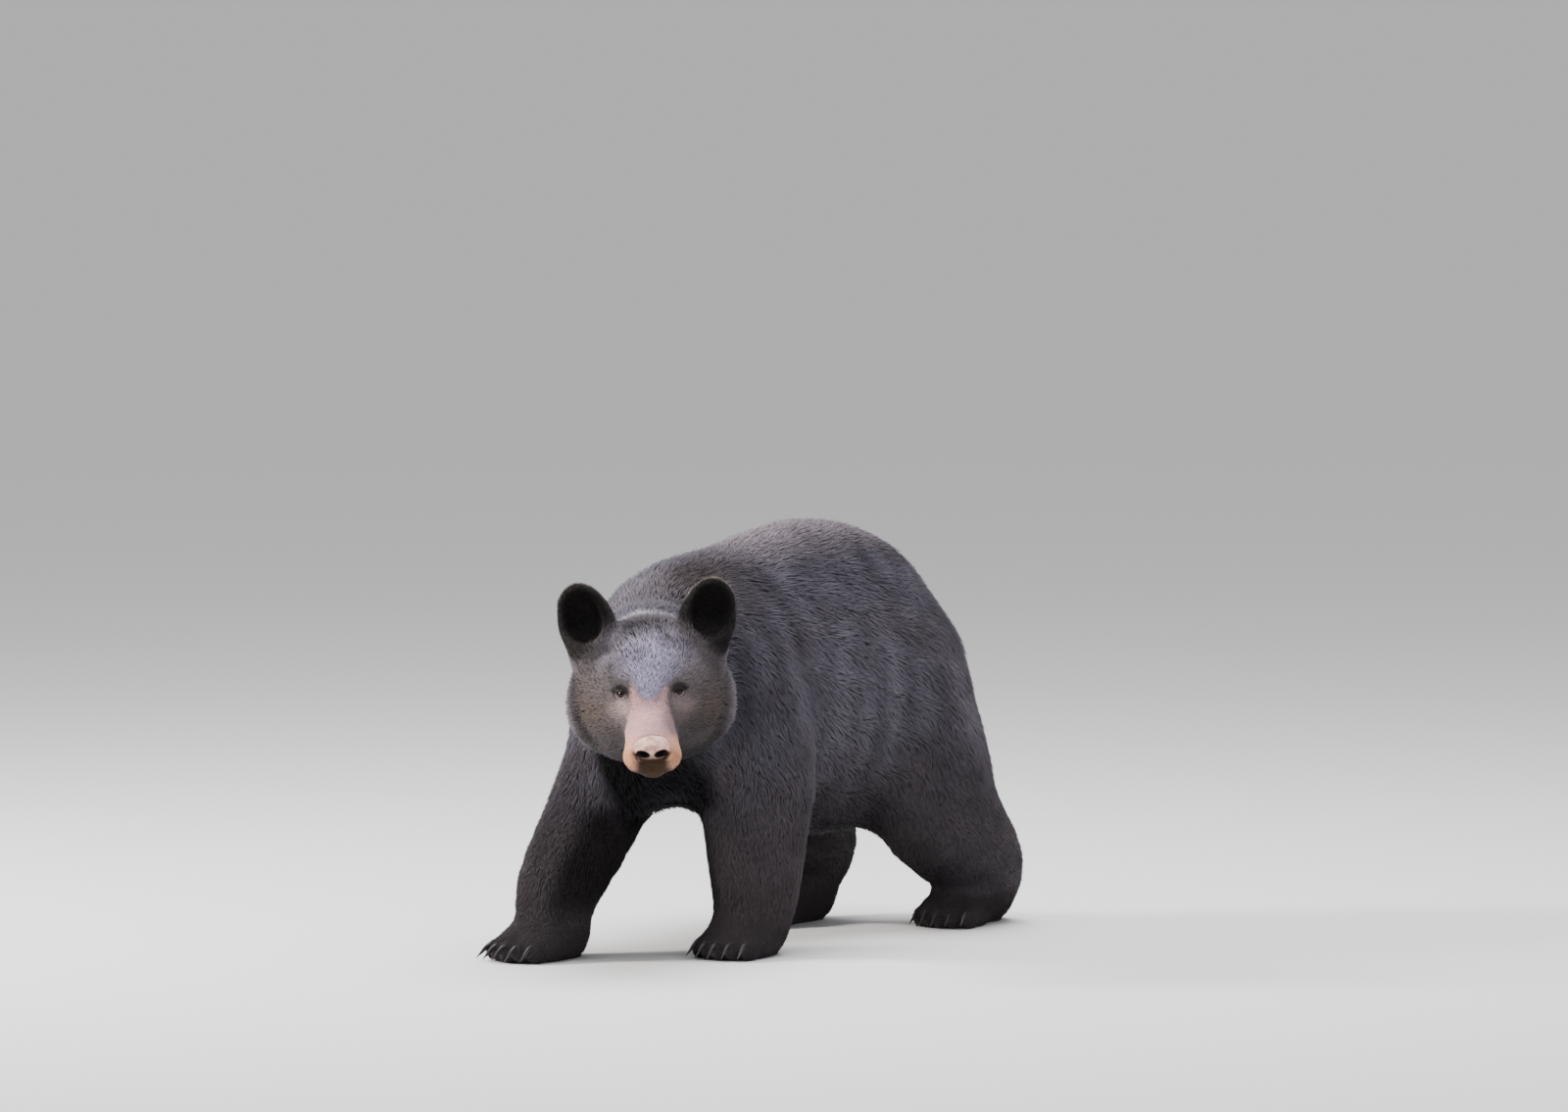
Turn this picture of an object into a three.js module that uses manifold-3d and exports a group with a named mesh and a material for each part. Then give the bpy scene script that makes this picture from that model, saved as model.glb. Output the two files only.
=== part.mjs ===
// A black bear at life size, standing with the right foreleg a step ahead and the head
// turned to its left. Millimetres. The bear faces -Y, its left side is +X, and z = 0 is
// the floor. The body is one field of blended masses out to the tips of the coat: each
// node is that field meshed over its own stretch and parted from its neighbours by thin
// flat cuts.
import * as THREE from "three";
import { mergeVertices } from "three/addons/utils/BufferGeometryUtils.js";
import Module from "manifold-3d";

// ---------------------------------------------------------------- driving dimensions

const GAP = 0.3; // clearance between two pieces that touch
const REACH = 3000; // side of the blocks that stand for half spaces

// Masses of the trunk: middle, half sizes, and how softly each runs into those before it.
const TRUNK = [
  { centre: [0, -215, 483], radii: [182, 250, 236], soft: 0 }, // ribs
  { centre: [0, 22, 480], radii: [214, 285, 289], soft: 110 }, // belly and loins
  { centre: [0, 190, 470], radii: [168, 244, 263], soft: 110 }, // rump
  { centre: [0, -310, 556], radii: [102, 168, 124], soft: 110 }, // withers
  { centre: [0, -420, 420], radii: [124, 125, 145], soft: 80 }, // chest
];

const NECK = { knots: [[0, -360, 535, 136], [70, -520, 525, 128], [130, -596, 522, 115]], soft: 20 };
const TAIL = { knots: [[0, 398, 542, 38], [0, 431, 502, 28], [0, 441, 455, 17]], soft: 8 };

// Each leg: knots of its axis with the thickness there (x, y, z, radius), and its foot.
const LEGS = {
  foreleg_left: {
    knots: [[92, -310, 500, 118], [140, -285, 350, 106], [148, -300, 235, 97], [146, -300, 110, 80],
      [142, -310, 55, 62]],
    paw: "forepaw_left", foot: [140, -325], turn: 6, hind: false,
    side: 1, front: -405, back: -165, armpit: [45, 285], slope: 40,
  },
  foreleg_right: {
    knots: [[-76, -335, 500, 110], [-110, -382, 345, 94], [-124, -432, 245, 90], [-132, -520, 130, 79],
      [-130, -550, 60, 62]],
    paw: "forepaw_right", foot: [-128, -575], turn: -6, hind: false,
    side: -1, front: -800, back: -250, armpit: [-45, 285], slope: -40,
  },
  hindleg_left: {
    knots: [[76, 258, 470, 133], [138, 240, 330, 131], [150, 292, 215, 117], [160, 410, 118, 85],
      [158, 440, 56, 54]],
    paw: "hindpaw_left", foot: [152, 365], turn: 8, hind: true,
    side: 1, front: 80, back: 700, armpit: [30, 290], slope: 45,
  },
  hindleg_right: {
    knots: [[-76, 215, 470, 128], [-130, 150, 330, 124], [-130, 215, 215, 114], [-138, 270, 135, 92],
      [-146, 232, 58, 56]],
    paw: "hindpaw_right", foot: [-140, 165], turn: -8, hind: true,
    side: -1, front: 4, back: 700, armpit: [-30, 290], slope: -45,
  },
};
const LEG_SOFT = 7; // how softly the lengths of one leg run together
const SPAN = 3; // lengths between two knots of a leg

// Foot, in its own frame: heel at the back (+Y), toes forward (-Y), sole on the floor.
const PAW = {
  wrist: 66, // height of the cut between foot and leg
  heel: { fore: [0, 40, 40], hind: [0, 104, 42] },
  heelRadius: { fore: 52, hind: 44 },
  ball: [0, -16, 34],
  ballRadius: 50,
  pad: { centre: [0, -30, 28], radii: [66, 66, 38] },
  toes: 5,
  toeSpread: 48, // sideways, from the middle toe to the outer one
  toeReach: -86, // how far forward the middle toe lies
  toeSweep: 18, // how far the outer toes fall back
  toeRadii: [15.5, 28, 20],
  toeHeight: 20,
};
const CLAW = {
  rings: 4, sides: 5,
  root: [0, 20, 26], // from the toe's middle, sunk in the toe
  length: { fore: 46, hind: 40 },
  drop: 19, // how far the tip hangs below the root
  curve: 2.2, // how late along the claw it drops
  arch: 3, // how far it rises before it drops
  splay: 0.12, // how far the outer claws turn out
  halfWidth: 5.2, halfHeight: 8, tip: 0.3, taper: 1.5,
};

// Head, in its own frame: forward is -Y, the middle of the skull near the origin.
const HEAD = { place: [158, -643, 528], yaw: 37, pitch: 31, roll: -3, size: 1.05 };
const SKULL = [ // centre, radii, softness; mirrored left and right
  { centre: [0, 25, -12], radii: [112, 88, 80], soft: 0 }, // skull and brow
  { centre: [56, 30, -80], radii: [89, 80, 84], soft: 50 }, // cheek ruff
  { centre: [0, 10, -98], radii: [92, 90, 58], soft: 40 }, // throat
  { centre: [0, -32, 8], radii: [72, 62, 50], soft: 40 }, // forehead
  { centre: [36, -26, -62], radii: [56, 62, 60], soft: 40 }, // in front of the cheek
];
const SNOUT = [ // from, to, radius at each end, softness; mirrored
  { from: [0, -50, -16], to: [0, -158, -35], radii: [54, 35], soft: 30 }, // muzzle
  { from: [8, -112, -44], to: [22, -174, -39], radii: [30, 27], soft: 16 }, // upper lip
  { from: [0, -40, -80], to: [0, -156, -67], radii: [48, 25], soft: 22 }, // lower jaw
];
const NOSE = {
  pad: { centre: [0, -181, -21.5], radii: [30, 19, 17] },
  top: { centre: [0, -176, -13], radii: [25, 17, 9], soft: 14 },
  nostril: { centre: [15.5, -200, -20], radii: [11, 17, 6.5] },
  slit: { from: [20, -198, -22], to: [29, -187, -28], radii: [4.2, 2.4], soft: 3 },
  rim: 2, // rounding of the nostrils' edge
  clearance: 0.42, // kept between the nose and the head
};
const MOUTH = { // half of the line of the lips, from the front to the corner
  line: [[0, -198, -53], [24, -188, -55], [40, -160, -62], [50, -122, -73], [60, -86, -85]],
  groove: 3.2, sunk: 0.6, lip: 5.2, lipDrop: 6.5, lipSunk: 2.4,
  corner: 0.35, // thickness at the corners, against the middle
  steps: 22, sides: 6,
};
const EYE = {
  place: [51.5, -83, 25], // on the surface
  radius: 11.5, sunk: 10.5, lid: 14, opening: [21, 11.5], tilt: 12,
  sides: 13, rings: 8, // of the ball
  edge: 6, // lengths in each arc of the opening
};
const EAR = {
  place: [104, 52, 90], yaw: 12, pitch: -30, roll: 27,
  shell: [46, 23, 61], cup: { centre: [0, -25, 5], radii: [34, 32, 47] },
  root: { from: [78, 41, 20], to: [98, 52, 64], radii: [56, 46], soft: 20 },
  block: { low: [-75, -58, -36], high: [75, 50, 90] }, // the stretch that is the ear
  rim: 10, soft: 10,
};

// Where the big cuts pass: a point and the way they face.
const NECK_CUT = { point: [36, -455, 520], facing: [0.42, -0.8, 0.43] };
const HEAD_CUT = { behind: 87, pitch: 10 }; // from the middle of the head, and its lean
const TAIL_CUT = { y: 423, half: 75, low: 390, high: 640, length: 200 };

const BLEND = { neck: 70, leg: 62, foot: 30, head: 55, tail: 20, toe: 9, pad: 24 };

// Nets: along each axis a start, then pairs of a step and where it ends.
const FOOT_ACROSS = [-112, [20, -66], [13.2, 66], [20, 112]];
const FOOT_HEIGHT = [-30, [15, 96]];
const NETS = {
  torso: [[-330, [45, 330]], [-640, [45, 542]], [170, [45, 830]]],
  neck: [[-220, [36, 380]], [-800, [36, -340]], [230, [36, 760]]],
  tail: [[-90, [15, 90]], [372, [15, 522]], [380, [15, 650]]],
  forepaw: [FOOT_ACROSS, [-142, [14, -52], [28, 120]], FOOT_HEIGHT],
  hindpaw: [FOOT_ACROSS, [-142, [14, -52], [28, 180]], FOOT_HEIGHT],
  head: [
    [-190, [24, -64], [14.2, 64], [24, 190]],
    [-228, [14, -66], [26, 150]],
    [-190, [24, -112], [14, 20], [24, 130]],
  ],
  nose: [[-41.3, [6.6, 39.6]], [-217, [6.6, -150]], [-48, [6.6, 16]]],
};
const LEG_NET = { margin: 60, below: 60, top: 640, step: 35 };
const EAR_NET = { margin: 14, steps: [12, 9, 12] };
const SLOPE_STEP = 0.4; // over which a field's slope is measured

// ---------------------------------------------------------------- finishes

const finish = (color, roughness) => () =>
  new THREE.MeshStandardMaterial({ color, roughness, metalness: 0 });
const COAT = finish(0x26262c, 0.75);
const FACE = finish(0x3a3634, 0.75);
const NOSE_SKIN = finish(0x6d5a58, 0.45);
const EYE_GLASS = finish(0x140d08, 0.08);

// ---------------------------------------------------------------- frames

const radians = THREE.MathUtils.degToRad;

/** Placement from a place, three turns in degrees and a size. */
function frame(place, { yaw = 0, pitch = 0, roll = 0, size = 1 } = {}) {
  const turn = new THREE.Euler(radians(pitch), radians(roll), radians(yaw), "ZXY");
  return new THREE.Matrix4().compose(
    new THREE.Vector3(...place), new THREE.Quaternion().setFromEuler(turn),
    new THREE.Vector3(size, size, size));
}

/** A point of a frame's own space, in the space around it. */
const placed = (matrix, point) => new THREE.Vector3(...point).applyMatrix4(matrix);

const headFrame = frame(HEAD.place, HEAD);
const headTurn = frame([0, 0, 0], { ...HEAD, size: 1 });
const pawFrame = (leg) => frame([...leg.foot, 0], { yaw: leg.turn });

// ---------------------------------------------------------------- fields
// A field gives the distance from a point to a surface: below zero inside.

/** Ball stretched to three half sizes. */
function ellipsoid([cx, cy, cz], [rx, ry, rz]) {
  return (x, y, z) => {
    const [u, v, w] = [(x - cx) / rx, (y - cy) / ry, (z - cz) / rz];
    const near = Math.sqrt(u * u + v * v + w * w);
    const slope = Math.sqrt((u / rx) ** 2 + (v / ry) ** 2 + (w / rz) ** 2);
    return (near * (near - 1)) / (slope + 1e-6);
  };
}

/** Hull of two balls, at a and at b. */
function taper([ax, ay, az], [bx, by, bz], ra, rb) {
  const length = Math.hypot(bx - ax, by - ay, bz - az);
  const [ux, uy, uz] = [(bx - ax) / length, (by - ay) / length, (bz - az) / length];
  const slope = THREE.MathUtils.clamp((rb - ra) / length, -0.95, 0.95);
  const lean = slope / Math.sqrt(1 - slope * slope);
  return (x, y, z) => {
    const [px, py, pz] = [x - ax, y - ay, z - az];
    const along = px * ux + py * uy + pz * uz;
    const out = Math.sqrt(Math.max(px * px + py * py + pz * pz - along * along, 0));
    const at = Math.min(Math.max(along + out * lean, 0), length);
    return Math.sqrt(out * out + (along - at) ** 2) - (ra + (at * (rb - ra)) / length);
  };
}

/** Two distances run together over a width. */
function soften(a, b, width) {
  const near = Math.max(width - Math.abs(a - b), 0) / width;
  return Math.min(a, b) - (near * near * width) / 4;
}

/** Joins fields in order; each row is a field and its softness. */
function joined(rows) {
  return (x, y, z) => {
    let distance = rows[0][0](x, y, z);
    for (let i = 1; i < rows.length; i++) distance = soften(distance, rows[i][0](x, y, z), rows[i][1]);
    return distance;
  };
}

/** Round limb through knots of x, y, z and radius, its lengths weighed together. */
function limb(knots, soft) {
  const lengths = knots.slice(1).map((b, i) =>
    taper(knots[i].slice(0, 3), b.slice(0, 3), knots[i][3], b[3]));
  return (x, y, z) => {
    const all = lengths.map((length) => length(x, y, z));
    const least = Math.min(...all);
    let sum = 0;
    let weight = 0;
    for (const distance of all) {
      const share = Math.exp(-(distance - least) / soft);
      sum += share * distance;
      weight += share;
    }
    return sum / weight;
  };
}

/** More knots on the smooth curve through the given ones. */
function smoothKnots(knots, span) {
  const last = knots.length - 1;
  const before = knots[0].map((v, k) => 2 * v - knots[1][k]);
  const after = knots[last].map((v, k) => 2 * v - knots[last - 1][k]);
  const all = [before, ...knots, after];
  const out = [];
  for (let i = 1; i <= last; i++) {
    for (let j = 0; j < span; j++) {
      const t = j / span;
      out.push(all[i].map((b, k) => {
        const [a, c, d] = [all[i - 1][k], all[i + 1][k], all[i + 2][k]];
        return 0.5 * (2 * b + (c - a) * t + (2 * a - 5 * b + 4 * c - d) * t * t
          + (3 * b - a - 3 * c + d) * t ** 3);
      }));
    }
  }
  return [...out, knots[last]];
}

/** A field given in a frame's own space, put where the frame is. */
function carried(field, matrix) {
  const m = matrix.clone().invert().elements;
  const size = matrix.getMaxScaleOnAxis();
  return (x, y, z) => size * field(
    m[0] * x + m[4] * y + m[8] * z + m[12],
    m[1] * x + m[5] * y + m[9] * z + m[13],
    m[2] * x + m[6] * y + m[10] * z + m[14]);
}

const bothSides = (field) => (x, y, z) => field(Math.abs(x), y, z);

/** A field with a hole in it, its rim rounded over a width. */
const hollowed = (field, hole, width) => (x, y, z) => -soften(-field(x, y, z), hole(x, y, z), width);

// ---------------------------------------------------------------- the bear's fields

/** How far out toe i lies, from -1 to 1. */
const toeShare = (i) => (2 * i) / (PAW.toes - 1) - 1;

/** Middle of toe i in the foot's frame. */
const toePlace = (i) => [
  toeShare(i) * PAW.toeSpread,
  PAW.toeReach + PAW.toeSweep * Math.abs(toeShare(i)) ** 1.6,
  PAW.toeHeight,
];

function pawField(leg) {
  const kind = leg.hind ? "hind" : "fore";
  const rows = [
    [taper(PAW.ball, PAW.heel[kind], PAW.ballRadius, PAW.heelRadius[kind]), 0],
    [ellipsoid(PAW.pad.centre, PAW.pad.radii), BLEND.pad],
  ];
  for (let i = 0; i < PAW.toes; i++) rows.push([ellipsoid(toePlace(i), PAW.toeRadii), BLEND.toe]);
  return carried(joined(rows), pawFrame(leg));
}

const legField = (leg) => joined([
  [limb(smoothKnots(leg.knots, SPAN), LEG_SOFT), 0],
  [pawField(leg), BLEND.foot],
]);

const skullField = carried(bothSides(joined([
  ...SKULL.map((mass) => [ellipsoid(mass.centre, mass.radii), mass.soft]),
  ...SNOUT.map((part) => [taper(part.from, part.to, ...part.radii), part.soft]),
])), headFrame);

const earFrame = frame(EAR.place, EAR);
const earField = carried(bothSides(hollowed(
  joined([
    [carried(ellipsoid([0, 0, 0], EAR.shell), earFrame), 0],
    [taper(EAR.root.from, EAR.root.to, ...EAR.root.radii), EAR.root.soft],
  ]),
  carried(ellipsoid(EAR.cup.centre, EAR.cup.radii), earFrame), EAR.rim)), headFrame);

const bearField = joined([
  [joined(TRUNK.map((mass) => [ellipsoid(mass.centre, mass.radii), mass.soft])), 0],
  [limb(NECK.knots, NECK.soft), BLEND.neck],
  ...Object.values(LEGS).map((leg) => [legField(leg), BLEND.leg]),
  [skullField, BLEND.head],
  [earField, EAR.soft],
  [limb(TAIL.knots, TAIL.soft), BLEND.tail],
]);

/** Slope of a field at a point. */
function slopeAt(field, p) {
  const h = SLOPE_STEP;
  return new THREE.Vector3(
    field(p.x + h, p.y, p.z) - field(p.x - h, p.y, p.z),
    field(p.x, p.y + h, p.z) - field(p.x, p.y - h, p.z),
    field(p.x, p.y, p.z + h) - field(p.x, p.y, p.z - h)).multiplyScalar(0.5 / h);
}

/** Moves a point onto a field's surface, no further than the reach. */
function settle(field, point, reach) {
  const from = point.clone();
  for (let i = 0; i < 4; i++) {
    const slope = slopeAt(field, point);
    point.addScaledVector(slope, -field(point.x, point.y, point.z) / Math.max(slope.lengthSq(), 0.1));
  }
  const moved = point.clone().sub(from);
  return moved.length() > reach ? from.addScaledVector(moved.normalize(), reach) : point;
}

// ---------------------------------------------------------------- solids

const wasm = await Module();
wasm.setup();

/** Solid of a closed three.js geometry. */
function solid(geometry) {
  const plain = geometry.clone();
  plain.deleteAttribute("normal");
  plain.deleteAttribute("uv");
  const welded = mergeVertices(plain, 1e-4);
  return new wasm.Manifold(new wasm.Mesh({
    numProp: 3,
    vertProperties: Float32Array.from(welded.attributes.position.array),
    triVerts: Uint32Array.from(welded.index.array),
  }));
}

/** Block between two corners of a frame's own space. */
function block(low, high, matrix = new THREE.Matrix4()) {
  const size = high.map((v, k) => v - low[k]);
  const box = new THREE.BoxGeometry(...size);
  box.translate(...low.map((v, k) => v + size[k] / 2));
  return solid(box.applyMatrix4(matrix));
}

/** All that lies on the far side of a plane, which faces away from it and moves out by grow. */
function halfSpace(point, facing, grow = 0) {
  const turn = new THREE.Quaternion().setFromUnitVectors(
    new THREE.Vector3(0, 0, 1), new THREE.Vector3(...facing).normalize());
  const matrix = new THREE.Matrix4().compose(
    new THREE.Vector3(...point), turn, new THREE.Vector3(1, 1, 1));
  return block([-REACH / 2, -REACH / 2, -REACH], [REACH / 2, REACH / 2, grow], matrix);
}

/** Places along an axis from pairs of a step and where it ends. */
function ticks(start, ...stretches) {
  const out = [start];
  for (const [step, end] of stretches) {
    const count = Math.max(1, Math.round((end - out.at(-1)) / step));
    const from = out.at(-1);
    for (let i = 1; i <= count; i++) out.push(from + ((end - from) * i) / count);
  }
  return out;
}

/** Places along the three axes of a net. */
const axesOf = (rows) => rows.map((row) => ticks(...row));

// The corners of a cell, its edges as pairs of corners with their axis, and its faces as
// the edges around each, which the net below walks.
const CORNERS = [0, 1, 2, 3, 4, 5, 6, 7].map((c) => [c >> 2, (c >> 1) & 1, c & 1]);
const EDGES = [0, 1, 2].flatMap((axis) => CORNERS.map((corner, c) => ({ axis, corner, c })))
  .filter(({ axis, corner }) => corner[axis] === 0)
  .map(({ axis, corner, c }) => ({ axis, corner, ends: [c, c + (4 >> axis)] }));
const FACES = [0, 1, 2].flatMap((axis) => [0, 1].map((end) =>
  EDGES.flatMap((edge, e) => (edge.ends.every((c) => CORNERS[c][axis] === end) ? [e] : []))));

/** Groups a cell's crossed edges: one group for each sheet of the surface in the cell. */
function sheetsOf(inside, crossed) {
  const group = new Map(crossed.map((e) => [e, e]));
  const join = (a, b) => {
    const [from, to] = [group.get(a), group.get(b)];
    for (const [e, g] of group) if (g === from) group.set(e, to);
  };
  for (const face of FACES) {
    const cut = face.filter((e) => group.has(e));
    if (cut.length === 2) join(cut[0], cut[1]);
    if (cut.length !== 4) continue;
    const corners = new Set(cut.flatMap((e) => EDGES[e].ends));
    for (const corner of corners) {
      if (inside[corner]) join(...cut.filter((e) => EDGES[e].ends.includes(corner)));
    }
  }
  return group;
}

/**
 * Closed net of quads over a field's surface: one vertex for each sheet of it in a cell,
 * moved onto it. The axes may be spaced unevenly and lie in a frame of their own.
 */
function net(field, axes, matrix = new THREE.Matrix4()) {
  const [nx, ny, nz] = axes.map((axis) => axis.length);
  const node = (i, j, k) => (i * ny + j) * nz + k;
  const values = new Float32Array(nx * ny * nz).fill(1);
  const point = new THREE.Vector3();
  const each = (from, visit) => {
    for (let i = from; i < nx - 1; i++) {
      for (let j = from; j < ny - 1; j++) {
        for (let k = from; k < nz - 1; k++) visit(i, j, k);
      }
    }
  };
  each(1, (i, j, k) => {
    point.set(axes[0][i], axes[1][j], axes[2][k]).applyMatrix4(matrix);
    values[node(i, j, k)] = field(point.x, point.y, point.z);
  });

  const positions = [];
  const vertexOf = new Map(); // of each cell and edge
  each(0, (i, j, k) => {
    const at = CORNERS.map(([a, b, c]) => values[node(i + a, j + b, k + c)]);
    const inside = at.map((v) => v < 0);
    const crossed = EDGES.keys().filter((e) => inside[EDGES[e].ends[0]] !== inside[EDGES[e].ends[1]]);
    const group = sheetsOf(inside, [...crossed]);
    const atRim = i === 0 || j === 0 || k === 0 || i === nx - 2 || j === ny - 2 || k === nz - 2;
    const reach = Math.min(...[i, j, k].map((n, axis) => axes[axis][n + 1] - axes[axis][n])) / 2;
    for (const sheet of new Set(group.values())) {
      const middle = new THREE.Vector3();
      const members = [...group.keys()].filter((e) => group.get(e) === sheet);
      for (const e of members) {
        const [a, b] = EDGES[e].ends;
        const t = at[a] / (at[a] - at[b]);
        const place = [i, j, k].map((n, axis) =>
          axes[axis][n + CORNERS[a][axis]] * (1 - t) + axes[axis][n + CORNERS[b][axis]] * t);
        middle.add(new THREE.Vector3(...place));
        vertexOf.set(node(i, j, k) * 12 + e, positions.length / 3);
      }
      middle.multiplyScalar(1 / members.length).applyMatrix4(matrix);
      const vertex = atRim ? middle : settle(field, middle, reach);
      positions.push(vertex.x, vertex.y, vertex.z);
    }
  });

  const index = [];
  const spot = (v) => new THREE.Vector3().fromArray(positions, v * 3);
  const quad = (a, b, c, d) => {
    if (spot(a).distanceTo(spot(c)) <= spot(b).distanceTo(spot(d))) index.push(a, b, c, a, c, d);
    else index.push(b, c, d, b, d, a);
  };
  each(0, (i, j, k) => {
    const here = values[node(i, j, k)] < 0;
    for (const axis of [0, 1, 2]) {
      const step = [0, 0, 0];
      step[axis] = 1;
      if (here === values[node(i + step[0], j + step[1], k + step[2])] < 0) continue;
      const [u, v] = [(axis + 1) % 3, (axis + 2) % 3];
      const around = [[0, 0], [1, 0], [1, 1], [0, 1]].map(([a, b]) => {
        const back = [0, 0, 0];
        back[u] = a;
        back[v] = b;
        const e = EDGES.findIndex((edge) => edge.axis === axis && edge.corner[u] === a
          && edge.corner[v] === b);
        return vertexOf.get(node(i - back[0], j - back[1], k - back[2]) * 12 + e);
      });
      quad(...(here ? around : around.reverse()));
    }
  });
  const geometry = new THREE.BufferGeometry();
  geometry.setAttribute("position", new THREE.Float32BufferAttribute(positions, 3));
  geometry.setIndex(index);
  return solid(geometry);
}

/** The largest closed piece of a solid. */
function largest(shape) {
  return shape.decompose().reduce((a, b) => (Math.abs(b.volume()) > Math.abs(a.volume()) ? b : a));
}

/** Closed tube of rings about a path; radii gives half width and half height at 0..1. */
function sweep(path, rings, sides, radii, side = new THREE.Vector3(1, 0, 0)) {
  const positions = [];
  const index = [];
  for (let r = 0; r <= rings; r++) {
    const t = r / rings;
    const middle = path(t);
    const ahead = path(Math.min(t + 0.01, 1)).sub(path(Math.max(t - 0.01, 0))).normalize();
    const up = new THREE.Vector3().crossVectors(ahead, side).normalize();
    const across = new THREE.Vector3().crossVectors(up, ahead);
    const [wide, high] = radii(t);
    for (let s = 0; s < sides; s++) {
      const angle = (2 * Math.PI * s) / sides;
      const p = middle.clone().addScaledVector(across, wide * Math.cos(angle))
        .addScaledVector(up, high * Math.sin(angle));
      positions.push(p.x, p.y, p.z);
    }
  }
  for (let r = 0; r < rings; r++) {
    for (let s = 0; s < sides; s++) {
      const a = r * sides + s;
      const b = r * sides + ((s + 1) % sides);
      index.push(a, b, b + sides, a, b + sides, a + sides);
    }
  }
  for (let s = 1; s < sides - 1; s++) {
    index.push(0, s + 1, s);
    const end = rings * sides;
    index.push(end, end + s, end + s + 1);
  }
  const geometry = new THREE.BufferGeometry();
  geometry.setAttribute("position", new THREE.Float32BufferAttribute(positions, 3));
  geometry.setIndex(index);
  const shape = solid(geometry);
  if (shape.volume() < 0) throw new Error("a sweep is inside out");
  return shape;
}

// ---------------------------------------------------------------- cuts

/** The stretch that belongs to a leg, grown on every side for its neighbours. */
function legSpace(leg, grow = 0) {
  const [armX, armZ] = leg.armpit;
  const slope = radians(leg.slope);
  return [
    halfSpace([(leg.side * GAP) / 2, 0, 0], [-leg.side, 0, 0], grow),
    halfSpace([0, leg.front, 0], [0, -1, 0], grow),
    halfSpace([0, leg.back, 0], [0, 1, 0], grow),
    halfSpace([armX, 0, armZ], [-Math.sin(slope), 0, Math.cos(slope)], grow),
  ].reduce((a, b) => a.intersect(b));
}

const headCut = frame(HEAD.place, { yaw: HEAD.yaw, pitch: HEAD_CUT.pitch });
const headSpace = (grow = 0) => block(
  [-REACH / 2, -REACH, -REACH / 2], [REACH / 2, HEAD_CUT.behind + grow, REACH / 2], headCut);
const neckSpace = (grow = 0) => halfSpace(NECK_CUT.point, NECK_CUT.facing.map((v) => -v), grow);
const tailSpace = (grow = 0) => block(
  [-TAIL_CUT.half - grow, TAIL_CUT.y - grow, TAIL_CUT.low - grow],
  [TAIL_CUT.half + grow, TAIL_CUT.y + TAIL_CUT.length, TAIL_CUT.high + grow]);

/** The frame of one ear: the left one's, or that mirrored. */
function earFrameOn(side) {
  const turns = { yaw: side * EAR.yaw, pitch: EAR.pitch, roll: side * EAR.roll };
  return headFrame.clone().multiply(frame([side * EAR.place[0], EAR.place[1], EAR.place[2]], turns));
}

/** The stretch that is one ear, grown on every side for the head and neck. */
function earSpace(side, grow = 0) {
  const { low, high } = EAR.block;
  return block(low.map((v) => v - grow), high.map((v) => v + grow), earFrameOn(side));
}

// ---------------------------------------------------------------- pieces

const sides = { left: 1, right: -1 };

/** One claw in the foot's frame, grown from toe i. */
function claw(leg, i) {
  const [x, y] = toePlace(i);
  const length = CLAW.length[leg.hind ? "hind" : "fore"];
  const rise = (t) => CLAW.arch * Math.sin(Math.PI * Math.min(1.4 * t, 1));
  const path = (t) => new THREE.Vector3(
    x + CLAW.splay * toeShare(i) * length * t,
    y - PAW.toeRadii[1] + CLAW.root[1] - length * t,
    CLAW.root[2] + rise(t) - CLAW.drop * t ** CLAW.curve);
  const radii = (t) => {
    const share = 1 - (1 - CLAW.tip) * t ** CLAW.taper;
    return [CLAW.halfWidth * share, CLAW.halfHeight * share];
  };
  return sweep((t) => path(t).applyMatrix4(pawFrame(leg)), CLAW.rings, CLAW.sides, radii);
}

function paw(leg) {
  const axes = axesOf(leg.hind ? NETS.hindpaw : NETS.forepaw);
  const low = block([-REACH / 2, -REACH / 2, 0], [REACH / 2, REACH / 2, PAW.wrist]);
  let shape = net(bearField, axes, pawFrame(leg)).intersect(low);
  for (let i = 0; i < PAW.toes; i++) shape = shape.add(claw(leg, i));
  return largest(shape);
}

function legPiece(leg) {
  const knots = smoothKnots(leg.knots, SPAN);
  const { margin, below, top, step } = LEG_NET;
  const rows = [0, 1].map((k) => [
    Math.min(...knots.map((p) => p[k] - p[3])) - margin,
    [step, Math.max(...knots.map((p) => p[k] + p[3])) + margin],
  ]);
  const shape = net(bearField, axesOf([...rows, [PAW.wrist - below, [step, top]]]));
  const above = halfSpace([0, 0, PAW.wrist + GAP], [0, 0, -1]);
  return largest(shape.intersect(legSpace(leg)).intersect(above));
}

function torso() {
  let shape = net(bearField, axesOf(NETS.torso));
  shape = shape.subtract(neckSpace(GAP)).subtract(headSpace(GAP)).subtract(tailSpace(GAP));
  for (const leg of Object.values(LEGS)) shape = shape.subtract(legSpace(leg, GAP));
  return largest(shape);
}

function neck() {
  let shape = net(bearField, axesOf(NETS.neck));
  shape = shape.intersect(neckSpace()).subtract(headSpace(GAP));
  for (const leg of Object.values(LEGS)) shape = shape.subtract(legSpace(leg, GAP));
  for (const side of Object.values(sides)) shape = shape.subtract(earSpace(side, GAP));
  return largest(shape);
}

function tail() {
  const shape = net(bearField, axesOf(NETS.tail));
  return largest(shape.intersect(tailSpace()));
}

function ear(side) {
  const { low, high } = EAR.block;
  const { margin, steps } = EAR_NET;
  const axes = axesOf(low.map((v, k) => [v - margin, [steps[k], high[k] + margin]]));
  return largest(net(bearField, axes, earFrameOn(side)).intersect(earSpace(side)));
}

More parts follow.
